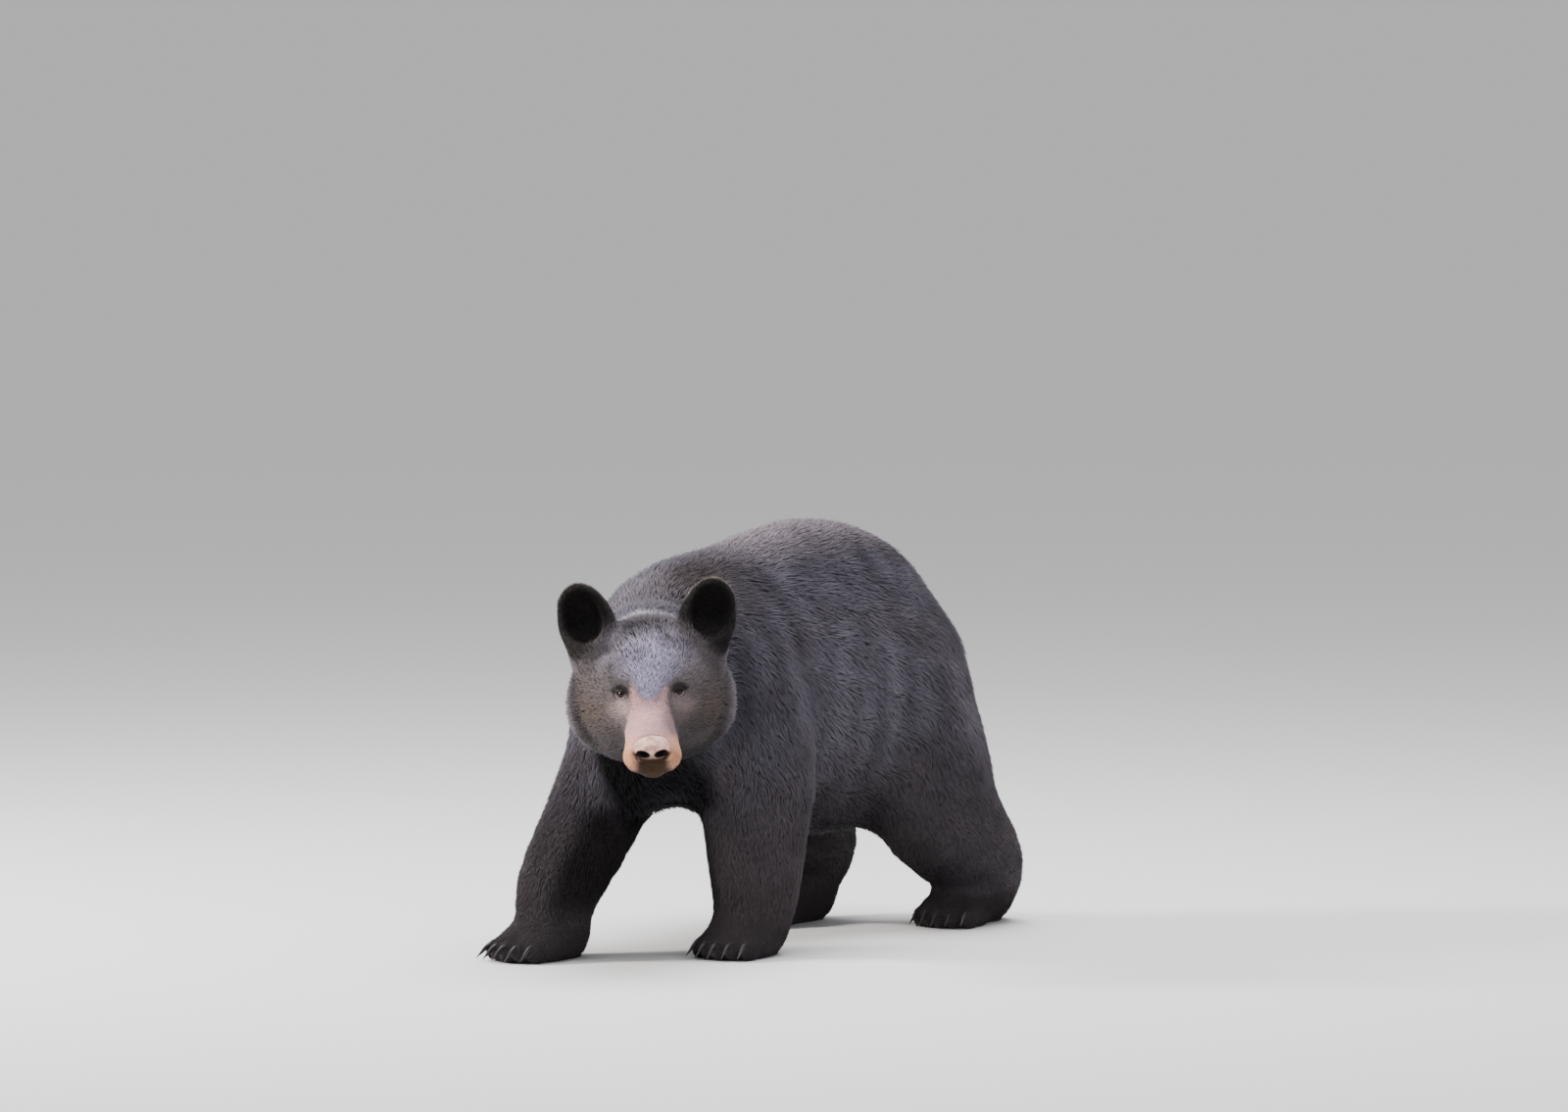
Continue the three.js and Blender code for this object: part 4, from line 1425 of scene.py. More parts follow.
EAR_PATCHES = (
    Patch(Tone.EAR_ROOT, (Ramp(On.ROOT, -14, 12), Ramp(On.FRONT, 50, 15), Ramp(On.LEFT, -78, -52),
                          Ramp(On.REACH, 1.5, 1.3), Ramp(On.HEIGHT, 10, -20)), 0.95),
    Patch(Tone.EAR_INSIDE, (Either((Ramp(On.CUP, 12, 6), Ramp(On.FRONT, 8, 0))), *ON_EAR)),
    # painted backlight along the upper rims of the ears
    Patch(Tone.EAR_RIM, (Ramp(On.REACH, 0.84, 0.93), Ramp(On.HEIGHT, -4, 20), Bell(On.FRONT, 4, 6),
                         *ON_EAR), 0.8),
)


@dataclass(frozen=True)
class MarkingsAndPaintedLight:
    """Where each colour of the coat lies, markings and painted light and shade alike. Skin and tufts ask the
    same colours.
    """

    head_back: float = 150.0  # where the head's own colours end, in its frame
    # the chest's painted shade is centred off to the left, where the head's shadow falls
    chest_left: float = 36.0  # middle of the dark chest
    wash: Waves = Waves(150.0, 31)  # brown washes of the body
    fold_shading_waves: Waves = Waves(60.0, 21, (0.3, 1.0, 0.22))  # painted light and shade of soft upright folds on the flanks
    fold_shading_depth: float = 0.12
    stray: Waves = Waves(26.0, 5)  # moves the edges of the face's colours
    stray_back: float = 3.0
    stray_up: float = 5.0
    furrows: Waves = Waves(21.0, 9, (0.55, 1.3, 1.0))
    furrow_edge: Span = (0.15, 1.0)
    furrow_start: Span = (-62, -28)
    mottle: Waves = Waves(9.0, 6)
    cheek: Span = (50, -28)  # side and height of its middle
    wedge: tuple[Slope, ...] = (Slope(On.FRONT, FORK, FORK + 28, 0.72), Slope(On.FRONT, -85, -25, 0.62))
    wedge_edge: Slope = Slope(On.FRONT, -90, -10, 0.42, 9.0)  # half width of its soft edge
    arch: float = 0.0055  # how far the wrinkles of the brow bend, for each square millimetre
    muzzle_back: Ramp = Ramp(On.SIDE, 6, 27, -110, -86)  # where the pale muzzle ends on the bridge
    muzzle_slant: Slope = Slope(On.HEIGHT, -8, -98, 0.36)  # how much sooner it ends further down
    muzzle_middle: float = -2.5
    muzzle_half: float = 28.0
    muzzle_flare: Both = Both((Ramp(On.LEFT, 6, -6, 0.4, 0.7), Slope(On.FRONT, -104, -164, -1.0)))
    chin_lean: float = 0.22
    chin_front: float = -180.0
    lid_width: Ramp = Ramp(On.HEIGHT, 3, -4, 10, 5)
    ear_foot: float = 50.0  # how far the ear's root lies below its middle
    ear_slant: float = 0.45

    def tone(self, points: Array, normals: Array) -> Array:
        """Linear colour of the coat, with its painted light and shade.

        Args:
            points: places on the skin.
            normals: the way the skin faces there.

        Returns:
            A colour for each point.
        """
        left, front, height = points.T
        readings = {
            On.LEFT: left, On.FRONT: front, On.HEIGHT: height, On.RISE: normals[:, 2],
            On.OUTWARD: np.abs(normals[:, 0]), On.INWARD: -normals[:, 0] * np.sign(left),
            On.CHEST: np.abs(left - self.chest_left), On.WASH: self.wash.at(points)[:, 2]}
        colours = np.tile(np.array(Tone.COAT.value, np.float32), (len(points), 1))
        colours = painted(colours, BODY_PATCHES, readings)
        # painted light and shade of soft upright folds on the flanks
        fold_shading = self.fold_shading_waves.at(points)[:, 0] * FLANK.at(readings)
        colours = colours * (1 + self.fold_shading_depth * fold_shading)[:, None]
        own = HEAD_FRAME.inside(points)
        on_head = near_head(points) & (own[:, 1] < self.head_back)
        if on_head.any():
            colours[on_head] = self.head_tone(colours[on_head], own[on_head], points[on_head])
        return painted(colours, SOLE_PATCHES, readings)

    def head_tone(self, colours: Array, own: Array, points: Array) -> Array:
        """Paints the head.

        Args:
            colours: the body's colours there.
            own: places in the head's frame.
            points: the same places in the body's.

        Returns:
            The new colours.
        """
        colours = painted(colours, HEAD_PATCHES, self.head_readings(own, points))
        for seat in EYE_SEATS.values():
            across, up, out = seat.own(points).T
            rim = EYE.rim(seat.own(points))
            readings = {On.SIDE: np.abs(across), On.HEIGHT: up, On.OUT: out, On.RIM: rim}
            readings[On.LID] = rim - self.lid_width.at(readings)
            colours = painted(colours, EYE_PATCHES, readings)
        in_ear = EAR_FRAME.inside(mirrored(own))
        left, front, height = in_ear.T
        wide, _, tall = EARS.shell.radii
        readings = {
            On.LEFT: left, On.FRONT: front, On.HEIGHT: height, On.CUP: EARS.cup.distance(in_ear),
            On.REACH: np.hypot(left / wide, height / tall),
            On.ROOT: height + self.ear_foot + self.ear_slant * left}
        return painted(colours, EAR_PATCHES, readings)

    def head_readings(self, own: Array, points: Array) -> Readings:
        """Reads what the head's masks need.

        Args:
            own: places in the head's frame.
            points: the same places in the body's.

        Returns:
            A value a point under each name.
        """
        stray = self.stray.at(points)
        left, height = own[:, 0], own[:, 2]
        side, front = np.abs(left), own[:, 1] + self.stray_back * stray[:, 0]
        readings = {On.LEFT: left, On.SIDE: side, On.FRONT: front, On.HEIGHT: height}
        half = sum(slope.at(readings) for slope in self.wedge)
        furrows = smoothstep(*self.furrow_edge, self.furrows.at(own)[:, 0])
        outside = np.abs(left - self.muzzle_middle) - self.muzzle_half
        return readings | {
            On.RING: np.hypot(side - self.cheek[0], height - self.cheek[1]),
            On.WEDGE: (side - half) / self.wedge_edge.at(readings),
            On.FURROW: furrows * smoothstep(*self.furrow_start, front),
            On.ARCH: height + self.arch * left ** 2 + self.stray_up * stray[:, 2],
            On.MUZZLE: front - self.muzzle_back.at(readings) - self.muzzle_slant.at(readings),
            On.FLARE: outside - self.muzzle_flare.at(readings),
            On.CHIN: height + self.chin_lean * (front - self.chin_front),
            On.MOTTLE: self.mottle.at(points)[:, 1]}


MARKINGS_AND_PAINTED_LIGHT = MarkingsAndPaintedLight()


# ---- finishes


def feed(node: Node, inputs: dict) -> None:
    """Fills the inputs of a node.

    Args:
        node: the node.
        inputs: a number, a colour or the socket to link, by input.
    """
    for key, value in inputs.items():
        if isinstance(value, Socket):
            node.id_data.links.new(value, node.inputs[key])
        else:
            node.inputs[key].default_value = value


def added(tree: Tree, kind: str, inputs: dict, **settings) -> Node:
    """Adds a node to a tree.

    Args:
        tree: where it goes.
        kind: its type, without the word ShaderNode.
        inputs: a number, a colour or a socket for its inputs, by name or number.
        settings: its other values.

    Returns:
        The node.
    """
    node = tree.nodes.new(f"ShaderNode{kind}")
    for name, value in settings.items():
        setattr(node, name, value)
    feed(node, inputs)
    return node


def attribute(tree: Tree, name: str) -> Node:
    """Node that reads what a mesh says at each point."""
    return added(tree, "Attribute", {}, attribute_name=name)


def spread(tree: Tree, value: Socket, low: float, high: float) -> Socket:
    """A value's 0 to 1 spread over low to high."""
    ranged = added(tree, "MapRange", {"Value": value, "To Min": low, "To Max": high})
    return ranged.outputs["Result"]


def new_material(name: str) -> tuple[Material, Tree, Node]:
    """Makes a material with nodes.

    Args:
        name: what it is called.

    Returns:
        The material, its node tree and its shader.
    """
    material = bpy.data.materials.new(name)
    material.use_nodes = True
    tree = material.node_tree
    return material, tree, tree.nodes["Principled BSDF"]


@dataclass(frozen=True)
class ToneGroup:
    """Node group that gives a finish its colour, its roughness and a height."""

    name: str
    colours: tuple[str, ...]  # names of what it is given
    numbers: tuple[str, ...]

    def fill(self, tree: Tree, given: Sockets, place: Socket) -> dict:
        """Adds the group's nodes and returns the socket of each result."""
        raise NotImplementedError

    def build(self) -> Tree:
        """Makes the group, once.

        Returns:
            Its node tree.
        """
        tree = bpy.data.node_groups.get(self.name)
        if tree:
            return tree
        tree = bpy.data.node_groups.new(self.name, "ShaderNodeTree")
        for in_out, kind, names in (("INPUT", "Color", self.colours), ("INPUT", "Float", self.numbers),
                                    ("OUTPUT", "Color", ("Color",)),
                                    ("OUTPUT", "Float", ("Roughness", "Height"))):
            for name in names:
                tree.interface.new_socket(name=name, in_out=in_out, socket_type=f"NodeSocket{kind}")
        given = tree.nodes.new("NodeGroupInput")
        place = added(tree, "TexCoord", {}).outputs["Object"]
        feed(tree.nodes.new("NodeGroupOutput"), self.fill(tree, given.outputs, place))
        return tree

    def node(self, tree: Tree, shader: Node, inputs: dict, strength: float, relief: float) -> None:
        """Adds the group to a material and feeds its results to the shader.

        Args:
            tree: the material's nodes.
            shader: what takes the colour, the roughness and the bumps.
            inputs: what the group is given.
            strength: how strong the bumps are, from 0 to 1.
            relief: height of the bumps in metres.
        """
        results = added(tree, "Group", inputs, node_tree=self.build()).outputs
        bumps = added(tree, "Bump", {"Height": results["Height"], "Strength": strength, "Distance": relief})
        feed(shader, {"Base Color": results["Color"], "Roughness": results["Roughness"],
                      "Normal": bumps.outputs["Normal"]})


@dataclass(frozen=True)
class HairGroup(ToneGroup):
    """Hair: a tone varied from tuft to tuft, along each tuft and in soft patches."""

    name: str = "hair_tone"
    colours: tuple[str, ...] = ("Tone",)
    numbers: tuple[str, ...] = ("Along", "Strand", "Patches")
    patch: float = 17.0  # patches to the metre
    patch_detail: float = 4.0
    streak: float = 420.0  # fine strands to the metre
    streak_detail: float = 3.0
    along: Span = (0.82, 1.1)  # light at the root and at the tip
    uneven: Span = (0.88, 1.12)  # light of the darkest and of the palest tuft and strand
    gloss: Span = (0.5, 0.72)

    def fill(self, tree: Tree, given: Sockets, place: Socket) -> dict:
        """Adds the group's nodes.

        Args:
            tree: the group's tree.
            given: what the group is given.
            place: where on the piece.

        Returns:
            The socket of each result.
        """
        patches, streaks = (
            added(tree, "TexNoise", {"Vector": place, "Scale": scale, "Detail": detail}).outputs["Fac"]
            for scale, detail in ((self.patch, self.patch_detail), (self.streak, self.streak_detail)))
        blotch = added(tree, "Math", {0: patches, 1: 0.5}, operation="SUBTRACT")
        light = added(tree, "Math", {0: blotch.outputs["Value"], 1: given["Patches"], 2: 1.0},
                      operation="MULTIPLY_ADD")
        for source, (low, high) in ((given["Along"], self.along), (given["Strand"], self.uneven),
                                    (streaks, self.uneven)):
            light = added(tree, "Math", {0: light.outputs["Value"], 1: spread(tree, source, low, high)},
                          operation="MULTIPLY")
        colour = added(tree, "VectorMath", {0: given["Tone"], "Scale": light.outputs["Value"]},
                       operation="SCALE")
        return {"Color": colour.outputs["Vector"], "Roughness": spread(tree, streaks, *self.gloss),
                "Height": streaks}


@dataclass(frozen=True)
class GrainGroup(ToneGroup):
    """Bare surfaces: a tone with soft blotches, and a fine pebbled height."""

    name: str = "skin_grain"
    colours: tuple[str, ...] = ("Light", "Dark")
    numbers: tuple[str, ...] = ("Blotches", "Pebbles")
    detail: float = 5.0
    edges: Span = (0.34, 0.66)  # of the noise, where a blotch starts and is full
    gloss: Span = (0.34, 0.62)

    def fill(self, tree: Tree, given: Sockets, place: Socket) -> dict:
        """Adds the group's nodes.

        Args:
            tree: the group's tree.
            given: what the group is given.
            place: where on the piece.

        Returns:
            The socket of each result.
        """
        noise = {"Vector": place, "Scale": given["Blotches"], "Detail": self.detail}
        blotches = added(tree, "TexNoise", noise).outputs["Fac"]
        pebbles = added(tree, "TexVoronoi", {"Vector": place, "Scale": given["Pebbles"]},
                        feature="SMOOTH_F1")
        low, high = self.edges
        sharper = added(tree, "MapRange", {"Value": blotches, "From Min": low, "From Max": high})
        mix = added(tree, "Mix", {"Factor": sharper.outputs["Result"], "A": given["Light"],
                                  "B": given["Dark"]}, data_type="RGBA")
        return {"Color": mix.outputs["Result"], "Roughness": spread(tree, blotches, *self.gloss),
                "Height": pebbles.outputs["Distance"]}


@dataclass(frozen=True)
class PeltFinish:
    """Sleek hair, for the tufts or for the skin that shows between them."""

    name: str
    bump: float
    relief: float = 0.0006
    patches: float = 0.55
    sheen: float = 0.045
    sheen_roughness: float = 0.45
    sheen_tint: tuple[float, ...] = (0.74, 0.70, 0.86, 1.0)
    specular: float = 0.08

    def build(self) -> Material:
        """Makes the finish.

        Returns:
            Its material.
        """
        material, tree, shader = new_material(self.name)
        HairGroup().node(tree, shader, {
            "Tone": attribute(tree, "tone").outputs["Color"],
            "Along": attribute(tree, "along").outputs["Fac"],
            "Strand": attribute(tree, "strand").outputs["Fac"],
            "Patches": self.patches}, self.bump, self.relief)
        feed(shader, {"Specular IOR Level": self.specular, "Sheen Weight": self.sheen,
                      "Sheen Roughness": self.sheen_roughness, "Sheen Tint": self.sheen_tint})
        return material


@dataclass(frozen=True)
class BareFinish:
    """Bare skin or horn, with soft blotches and a pebbled surface."""

    name: str
    light: Triple
    dark: Triple
    blotches: float
    pebbles: float
    bump: float
    relief: float = 0.0004
    coat: float = 0.0
    coat_roughness: float = 0.2
    specular: float = 0.5

    def build(self) -> Material:
        """Makes the finish.

        Returns:
            Its material.
        """
        material, tree, shader = new_material(self.name)
        GrainGroup().node(tree, shader, {
            "Light": (*self.light, 1.0), "Dark": (*self.dark, 1.0), "Blotches": self.blotches,
            "Pebbles": self.pebbles}, self.bump, self.relief)
        feed(shader, {"Specular IOR Level": self.specular, "Coat Weight": self.coat,
                      "Coat Roughness": self.coat_roughness})
        return material


@dataclass(frozen=True)
class NoseFinish(BareFinish):
    """Nose leather: the bare finish, with painted shade where the mesh says: in the nostrils and over the
    lower part of the pad.
    """

    # painted shade in the nostrils and on the pad's lower part
    hollow: Triple = (0.006, 0.0035, 0.003)

    def build(self) -> Material:
        """Makes the finish.

        Returns:
            Its material.
        """
        material = super().build()
        tree = material.node_tree
        shader = tree.nodes["Principled BSDF"]
        plain = shader.inputs["Base Color"].links[0].from_socket
        mix = added(tree, "Mix", {"Factor": attribute(tree, "hollow").outputs["Fac"], "A": plain,
                                  "B": (*self.hollow, 1.0)}, data_type="RGBA")
        feed(shader, {"Base Color": mix.outputs["Result"]})
        return material


@dataclass(frozen=True)
class EyeFinish:
    """Eyeball: pupil, brown iris and dark white, under a clear wet surface."""

    name: str
    rings: tuple = (  # colours from the middle of the pupil, 0, to the edge of the iris, 1
        (0.0, (0.001, 0.001, 0.001, 1)), (0.42, (0.001, 0.001, 0.001, 1)),
        (0.52, (0.010, 0.004, 0.002, 1)), (0.80, (0.018, 0.007, 0.003, 1)),
        (0.96, (0.003, 0.0015, 0.001, 1)), (1.0, (0.010, 0.006, 0.005, 1)),
    )
    fibres: float = 900.0  # to the metre
    fibre_depth: float = 0.1
    roughness: float = 0.06
    specular: float = 0.2

    def build(self) -> Material:
        """Makes the finish.

        Returns:
            Its material.
        """
        material, tree, shader = new_material(self.name)
        place = added(tree, "TexCoord", {}).outputs["Object"]
        fibres = added(tree, "TexNoise", {"Vector": place, "Scale": self.fibres})
        uneven = added(tree, "Math", {0: fibres.outputs["Fac"], 1: self.fibre_depth,
                                      2: attribute(tree, "ring").outputs["Fac"]}, operation="MULTIPLY_ADD")
        ramp = added(tree, "ValToRGB", {"Fac": uneven.outputs["Value"]})
        stops = ramp.color_ramp.elements
        while len(stops) < len(self.rings):
            stops.new(0.5)
        for stop, (place, colour) in zip(stops, self.rings):
            stop.position = place
            stop.color = colour
        feed(shader, {"Base Color": ramp.outputs["Color"], "Roughness": self.roughness,
                      "Specular IOR Level": self.specular})
        return material


@dataclass(frozen=True)
class FloorFinish:
    """Pale matt floor."""

    name: str = "studio_floor"
    tone: Triple = (0.74, 0.74, 0.74)
    patches: float = 3.0  # to the floor's width
    matt: Span = (0.8, 0.95)

    def build(self) -> Material:
        """Makes the finish.

        Returns:
            Its material.
        """
        material, tree, shader = new_material(self.name)
        noise = added(tree, "TexNoise", {"Scale": self.patches})
        feed(shader, {"Base Color": (*self.tone, 1.0), "Specular IOR Level": 0.0,
                      "Roughness": spread(tree, noise.outputs["Fac"], *self.matt)})
        return material


NOSE_LEATHER = NoseFinish("nose_leather", light=(0.86, 0.53, 0.44), dark=(0.44, 0.24, 0.18), blotches=110.0,
                          pebbles=560.0, bump=1.0, relief=0.0014, specular=0.28)
CLAW_HORN = BareFinish("claw_horn", light=(0.030, 0.026, 0.025), dark=(0.010, 0.009, 0.009), blotches=90.0,
                       pebbles=260.0, bump=0.15, coat=0.3)


# ---- the skin


@dataclass(frozen=True)
class Mouth:
    """Line of the lips in the head's frame, half of it, and the form of the lips about it."""

    line: tuple[Triple, ...] = ((0, -198, -53), (24, -188, -55), (40, -160, -62), (50, -122, -73),
                                (60, -86, -85))
    span: int = 14  # lengths between two points of the line
    rounds: int = 5
    groove: float = 2.6
    groove_width: float = 1.5
    lip: float = 1.3
    lip_width: float = 3.4
    lip_drop: float = 4.6
    lip_edge: Span = (12, 5)  # distance from the line where the lips begin and are full
    end_fade: Span = (2, 26)  # distance from the corners
    far: float = 1000.0

    @cached_property
    def path(self) -> Array:
        """The whole line between the lips.

        Returns:
            Points along it, settled on the outline.
        """
        half = smooth_knots([(*point, 1.0) for point in self.line], self.span)[:, :3]
        whole = np.vstack([half[:0:-1] * [-1, 1, 1], half]).astype(np.float32)
        return FORM.settle(HEAD_FRAME.outside(whole), self.rounds)

    def nearest(self, points: Array) -> tuple[Array, Array]:
        """Measures points against the line.

        Args:
            points: places in millimetres.

        Returns:
            How far from it and how far above it each lies.
        """
        apart = np.full(len(points), self.far, np.float32)
        above = np.zeros(len(points), np.float32)
        up = HEAD_FRAME.turned(UP)
        for a, b in zip(self.path, self.path[1:]):
            span = b - a
            share = np.clip((points - a) @ span / (span @ span), 0, 1)
            away = points - (a + share[:, None] * span)
            far = np.linalg.norm(away, axis=1)
            closer = far < apart
            apart[closer] = far[closer]
            above[closer] = (away @ up)[closer]
        return apart, above

    def shape(self, points: Array) -> Array:
        """Shapes the lips.

        Args:
            points: places in millimetres.

        Returns:
            How far out each point moves.
        """
        corners = [np.linalg.norm(points - self.path[end], axis=1) for end in (0, -1)]
        apart, above = self.nearest(points)
        lips = sum(bump(above, drop, self.lip_width) for drop in (self.lip_drop, -self.lip_drop))
        out = self.lip * lips * smoothstep(*self.lip_edge, apart)
        out -= self.groove * bump(apart, 0, self.groove_width)
        return smoothstep(*self.end_fade, np.minimum(*corners)) * out


MOUTH = Mouth()


@dataclass
class Skin:
    """One closed skin for all the flesh, inside the outline by the depth of the coat."""

    step: float = 8.0  # cell of the plain net
    reach: float = 28.0  # space kept clear about the body
    paw_top: float = 46.0
    skull: Ball = Ball((0, -40, -20), (172, 172, 172))  # what is split, in the head's frame
    face_back: float = 20.0
    muzzle_back: float = -60.0
    ear: Triple = (70, 45, 75)  # half sizes of what is split about each ear
    levels: tuple[Span, ...] = ((30, 13), (19, 5.5))  # distance from eyes and lips that is split again
    rim: float = 1.6  # distance from the lids' edges that is split last
    sole_facing: Span = (-0.5, -0.95)
    sole_height: Span = (8, 2)
    lips: Ball = Ball((0, -140, -60), (110, 110, 110))
    nose_push: float = 27.0  # how far the skin lies back behind the nose
    nose_edge: Span = (-1, -6)
    nostril_edge: Span = (4, 0.5)
    nose_side: Span = (60, 40)
    nose_back: float = -120.0
    lid_reach: float = 17.0
    lid_depth: float = -2.0
    lid_soft: float = 5.0
    lid_edge: Span = (0.5, -0.6)
    root_depth: Span = (6, 1.5)  # of the coat, where the skin is as pale as the tufts' middles
    root_light: float = 0.5
    replaced: tuple[str, ...] = (
        "torso", "neck", "tail", "head", "ear_left", "ear_right", "foreleg_left", "foreleg_right",
        "hindleg_left", "hindleg_right", "forepaw_left", "forepaw_right", "hindpaw_left", "hindpaw_right")
    net: Net | None = None
    normals: Array | None = None
    part: Array | None = None
    depth: Array | None = None

    def bounds(self) -> tuple[Array, Array]:
        """Corners of the space that the body fills, from the model's own box."""
        low, high = (np.array(corner) / MM - SHIFT for corner in CAD_BOUNDS)
        return low - self.reach, high + self.reach

    def marks(self, net: Net, level: int) -> Array:
        """Chooses the triangles to split.

        Args:
            net: the skin so far.
            level: how often it has been refined.

        Returns:
            True for each of them.
        """
        middles = net.points[net.triangles].mean(1)
        own = HEAD_FRAME.inside(middles)
        face = (self.skull.distance(own) < 0) & (own[:, 1] < self.face_back)
        if level == 0:
            ear = (np.abs(EARS.own(middles)) < self.ear).all(1)
            return face | ear | (middles[:, 2] < self.paw_top)
        seats = EYE_SEATS.values()
        eyes = np.minimum.reduce([np.linalg.norm(middles - seat.middle, axis=1) for seat in seats])
        if level > len(self.levels):
            rim = np.minimum.reduce([np.abs(EYE.rim(seat.own(middles))) for seat in seats])
            return (rim < self.rim) & (eyes < self.levels[-1][0])
        near = face & (own[:, 1] < self.muzzle_back)
        lips = np.full(len(middles), MOUTH.far, np.float32)
        lips[near] = MOUTH.nearest(middles[near])[0]
        eye_reach, lip_reach = self.levels[level - 1]
        return (eyes < eye_reach) | (lips < lip_reach)

    def build(self) -> None:
        """Makes the net, draws it in and works the face into it."""
        net = contour(FORM.distance, *self.bounds(), self.step)
        net.points = FORM.settle(net.points)
        for level in range(len(self.levels) + 2):
            net, fresh = net.refined(self.marks(net, level))
            net.points[fresh] = FORM.settle(net.points[fresh])
        normals = unit(FORM.slope(net.points)[1])
        _, lie, self.part = FORM.grown(net.points)
        sole = smoothstep(*self.sole_facing, normals[:, 2])
        sole *= smoothstep(*self.sole_height, net.points[:, 2])
        self.depth = lie[:, 0] * (1 - sole)
        out = net.points - normals * self.depth[:, None]
        close = self.lips.distance(HEAD_FRAME.inside(out)) < 0
        out[close] += normals[close] * MOUTH.shape(net.points[close])[:, None]
        out = self.behind_nose(self.with_lids(out))
        out[:, 2] = np.maximum(out[:, 2], 0)
        self.net = Net(out.astype(np.float32), net.triangles)
        self.normals = self.net.normals()
        log.info("skin: %d triangles", len(self.net.triangles))

    def behind_nose(self, points: Array) -> Array:
        """Pushes points out of the nose pad, so that none shows in the nostrils.

        Args:
            points: places in millimetres.

        Returns:
            The moved points.
        """
        own = HEAD_FRAME.inside(points)
        pad = mirrored(own)
        hole = smoothstep(*self.nostril_edge, joined(Nose.nostrils, pad))
        hole *= smoothstep(*self.nose_side, pad[:, 0])
        inside = np.maximum(smoothstep(*self.nose_edge, joined(Nose.pad, pad)), hole)
        own[:, 1] += self.nose_push * inside
        near = (own[:, 1] < self.nose_back) & (inside > 0)
        points[near] = HEAD_FRAME.outside(own[near].astype(np.float32))
        return points

    def with_lids(self, points: Array) -> Array:
        """Raises points about the eyes to lids, and sinks them between.

        Args:
            points: places in millimetres.

        Returns:
            The moved points.
        """
        for seat in EYE_SEATS.values():
            own = seat.own(points)
            plan = own[:, 0] ** 2 + own[:, 1] ** 2
            near = (plan < self.lid_reach ** 2) & (own[:, 2] > self.lid_depth)
            rows, plan = own[near], plan[near]
            lid = np.sqrt(np.maximum((EYE.radius + EYE.lid) ** 2 - plan, 0))
            raised = -soften(-rows[:, 2], -lid, self.lid_soft)
            sunk = np.sqrt(np.maximum(EYE.floor ** 2 - plan, 1.0))
            inside = smoothstep(*self.lid_edge, EYE.rim(rows))
            height = raised * (1 - inside) + np.minimum(sunk, raised) * inside
            points[near] += (height - rows[:, 2])[:, None] * seat.outward
        return points

    def dress(self) -> Object:
        """Makes the skin with its colours and map.

        Returns:
            Its object.
        """
        skin = mesh_object("skin", self.net, PeltFinish("pelt_skin", bump=0.5).build())
        set_tone(skin, MARKINGS_AND_PAINTED_LIGHT.tone(self.net.points, self.normals))
        set_number(skin, "along", smoothstep(*self.root_depth, self.depth) * self.root_light)
        set_number(skin, "strand", np.full(len(self.net.points), 0.5))
        a, b, c = (self.net.points[self.net.triangles[:, k]] for k in range(3))
        facing = unit(np.cross(b - a, c - a))
        places = Unwrap(len(FORM.parts)).place(np.stack([a, b, c], 1).reshape(-1, 3), facing.repeat(3, 0),
                                               self.part[self.net.triangles[:, 0]].repeat(3))
        set_bake_map(skin, places)
        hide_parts(*self.replaced)
        return skin


# ---- the coat


@dataclass(frozen=True)
class Tufts:
    """Where tufts grow: one row for each tuft in every field."""

    roots: Array  # on the skin
    tips: Array
    normals: Array  # the way the skin faces
    depth: Array
    width: Array
    part: Array

    def picked(self, rows: Array) -> "Tufts":
        """Some of the tufts."""
        return Tufts(*(getattr(self, one.name)[rows] for one in fields(self)))


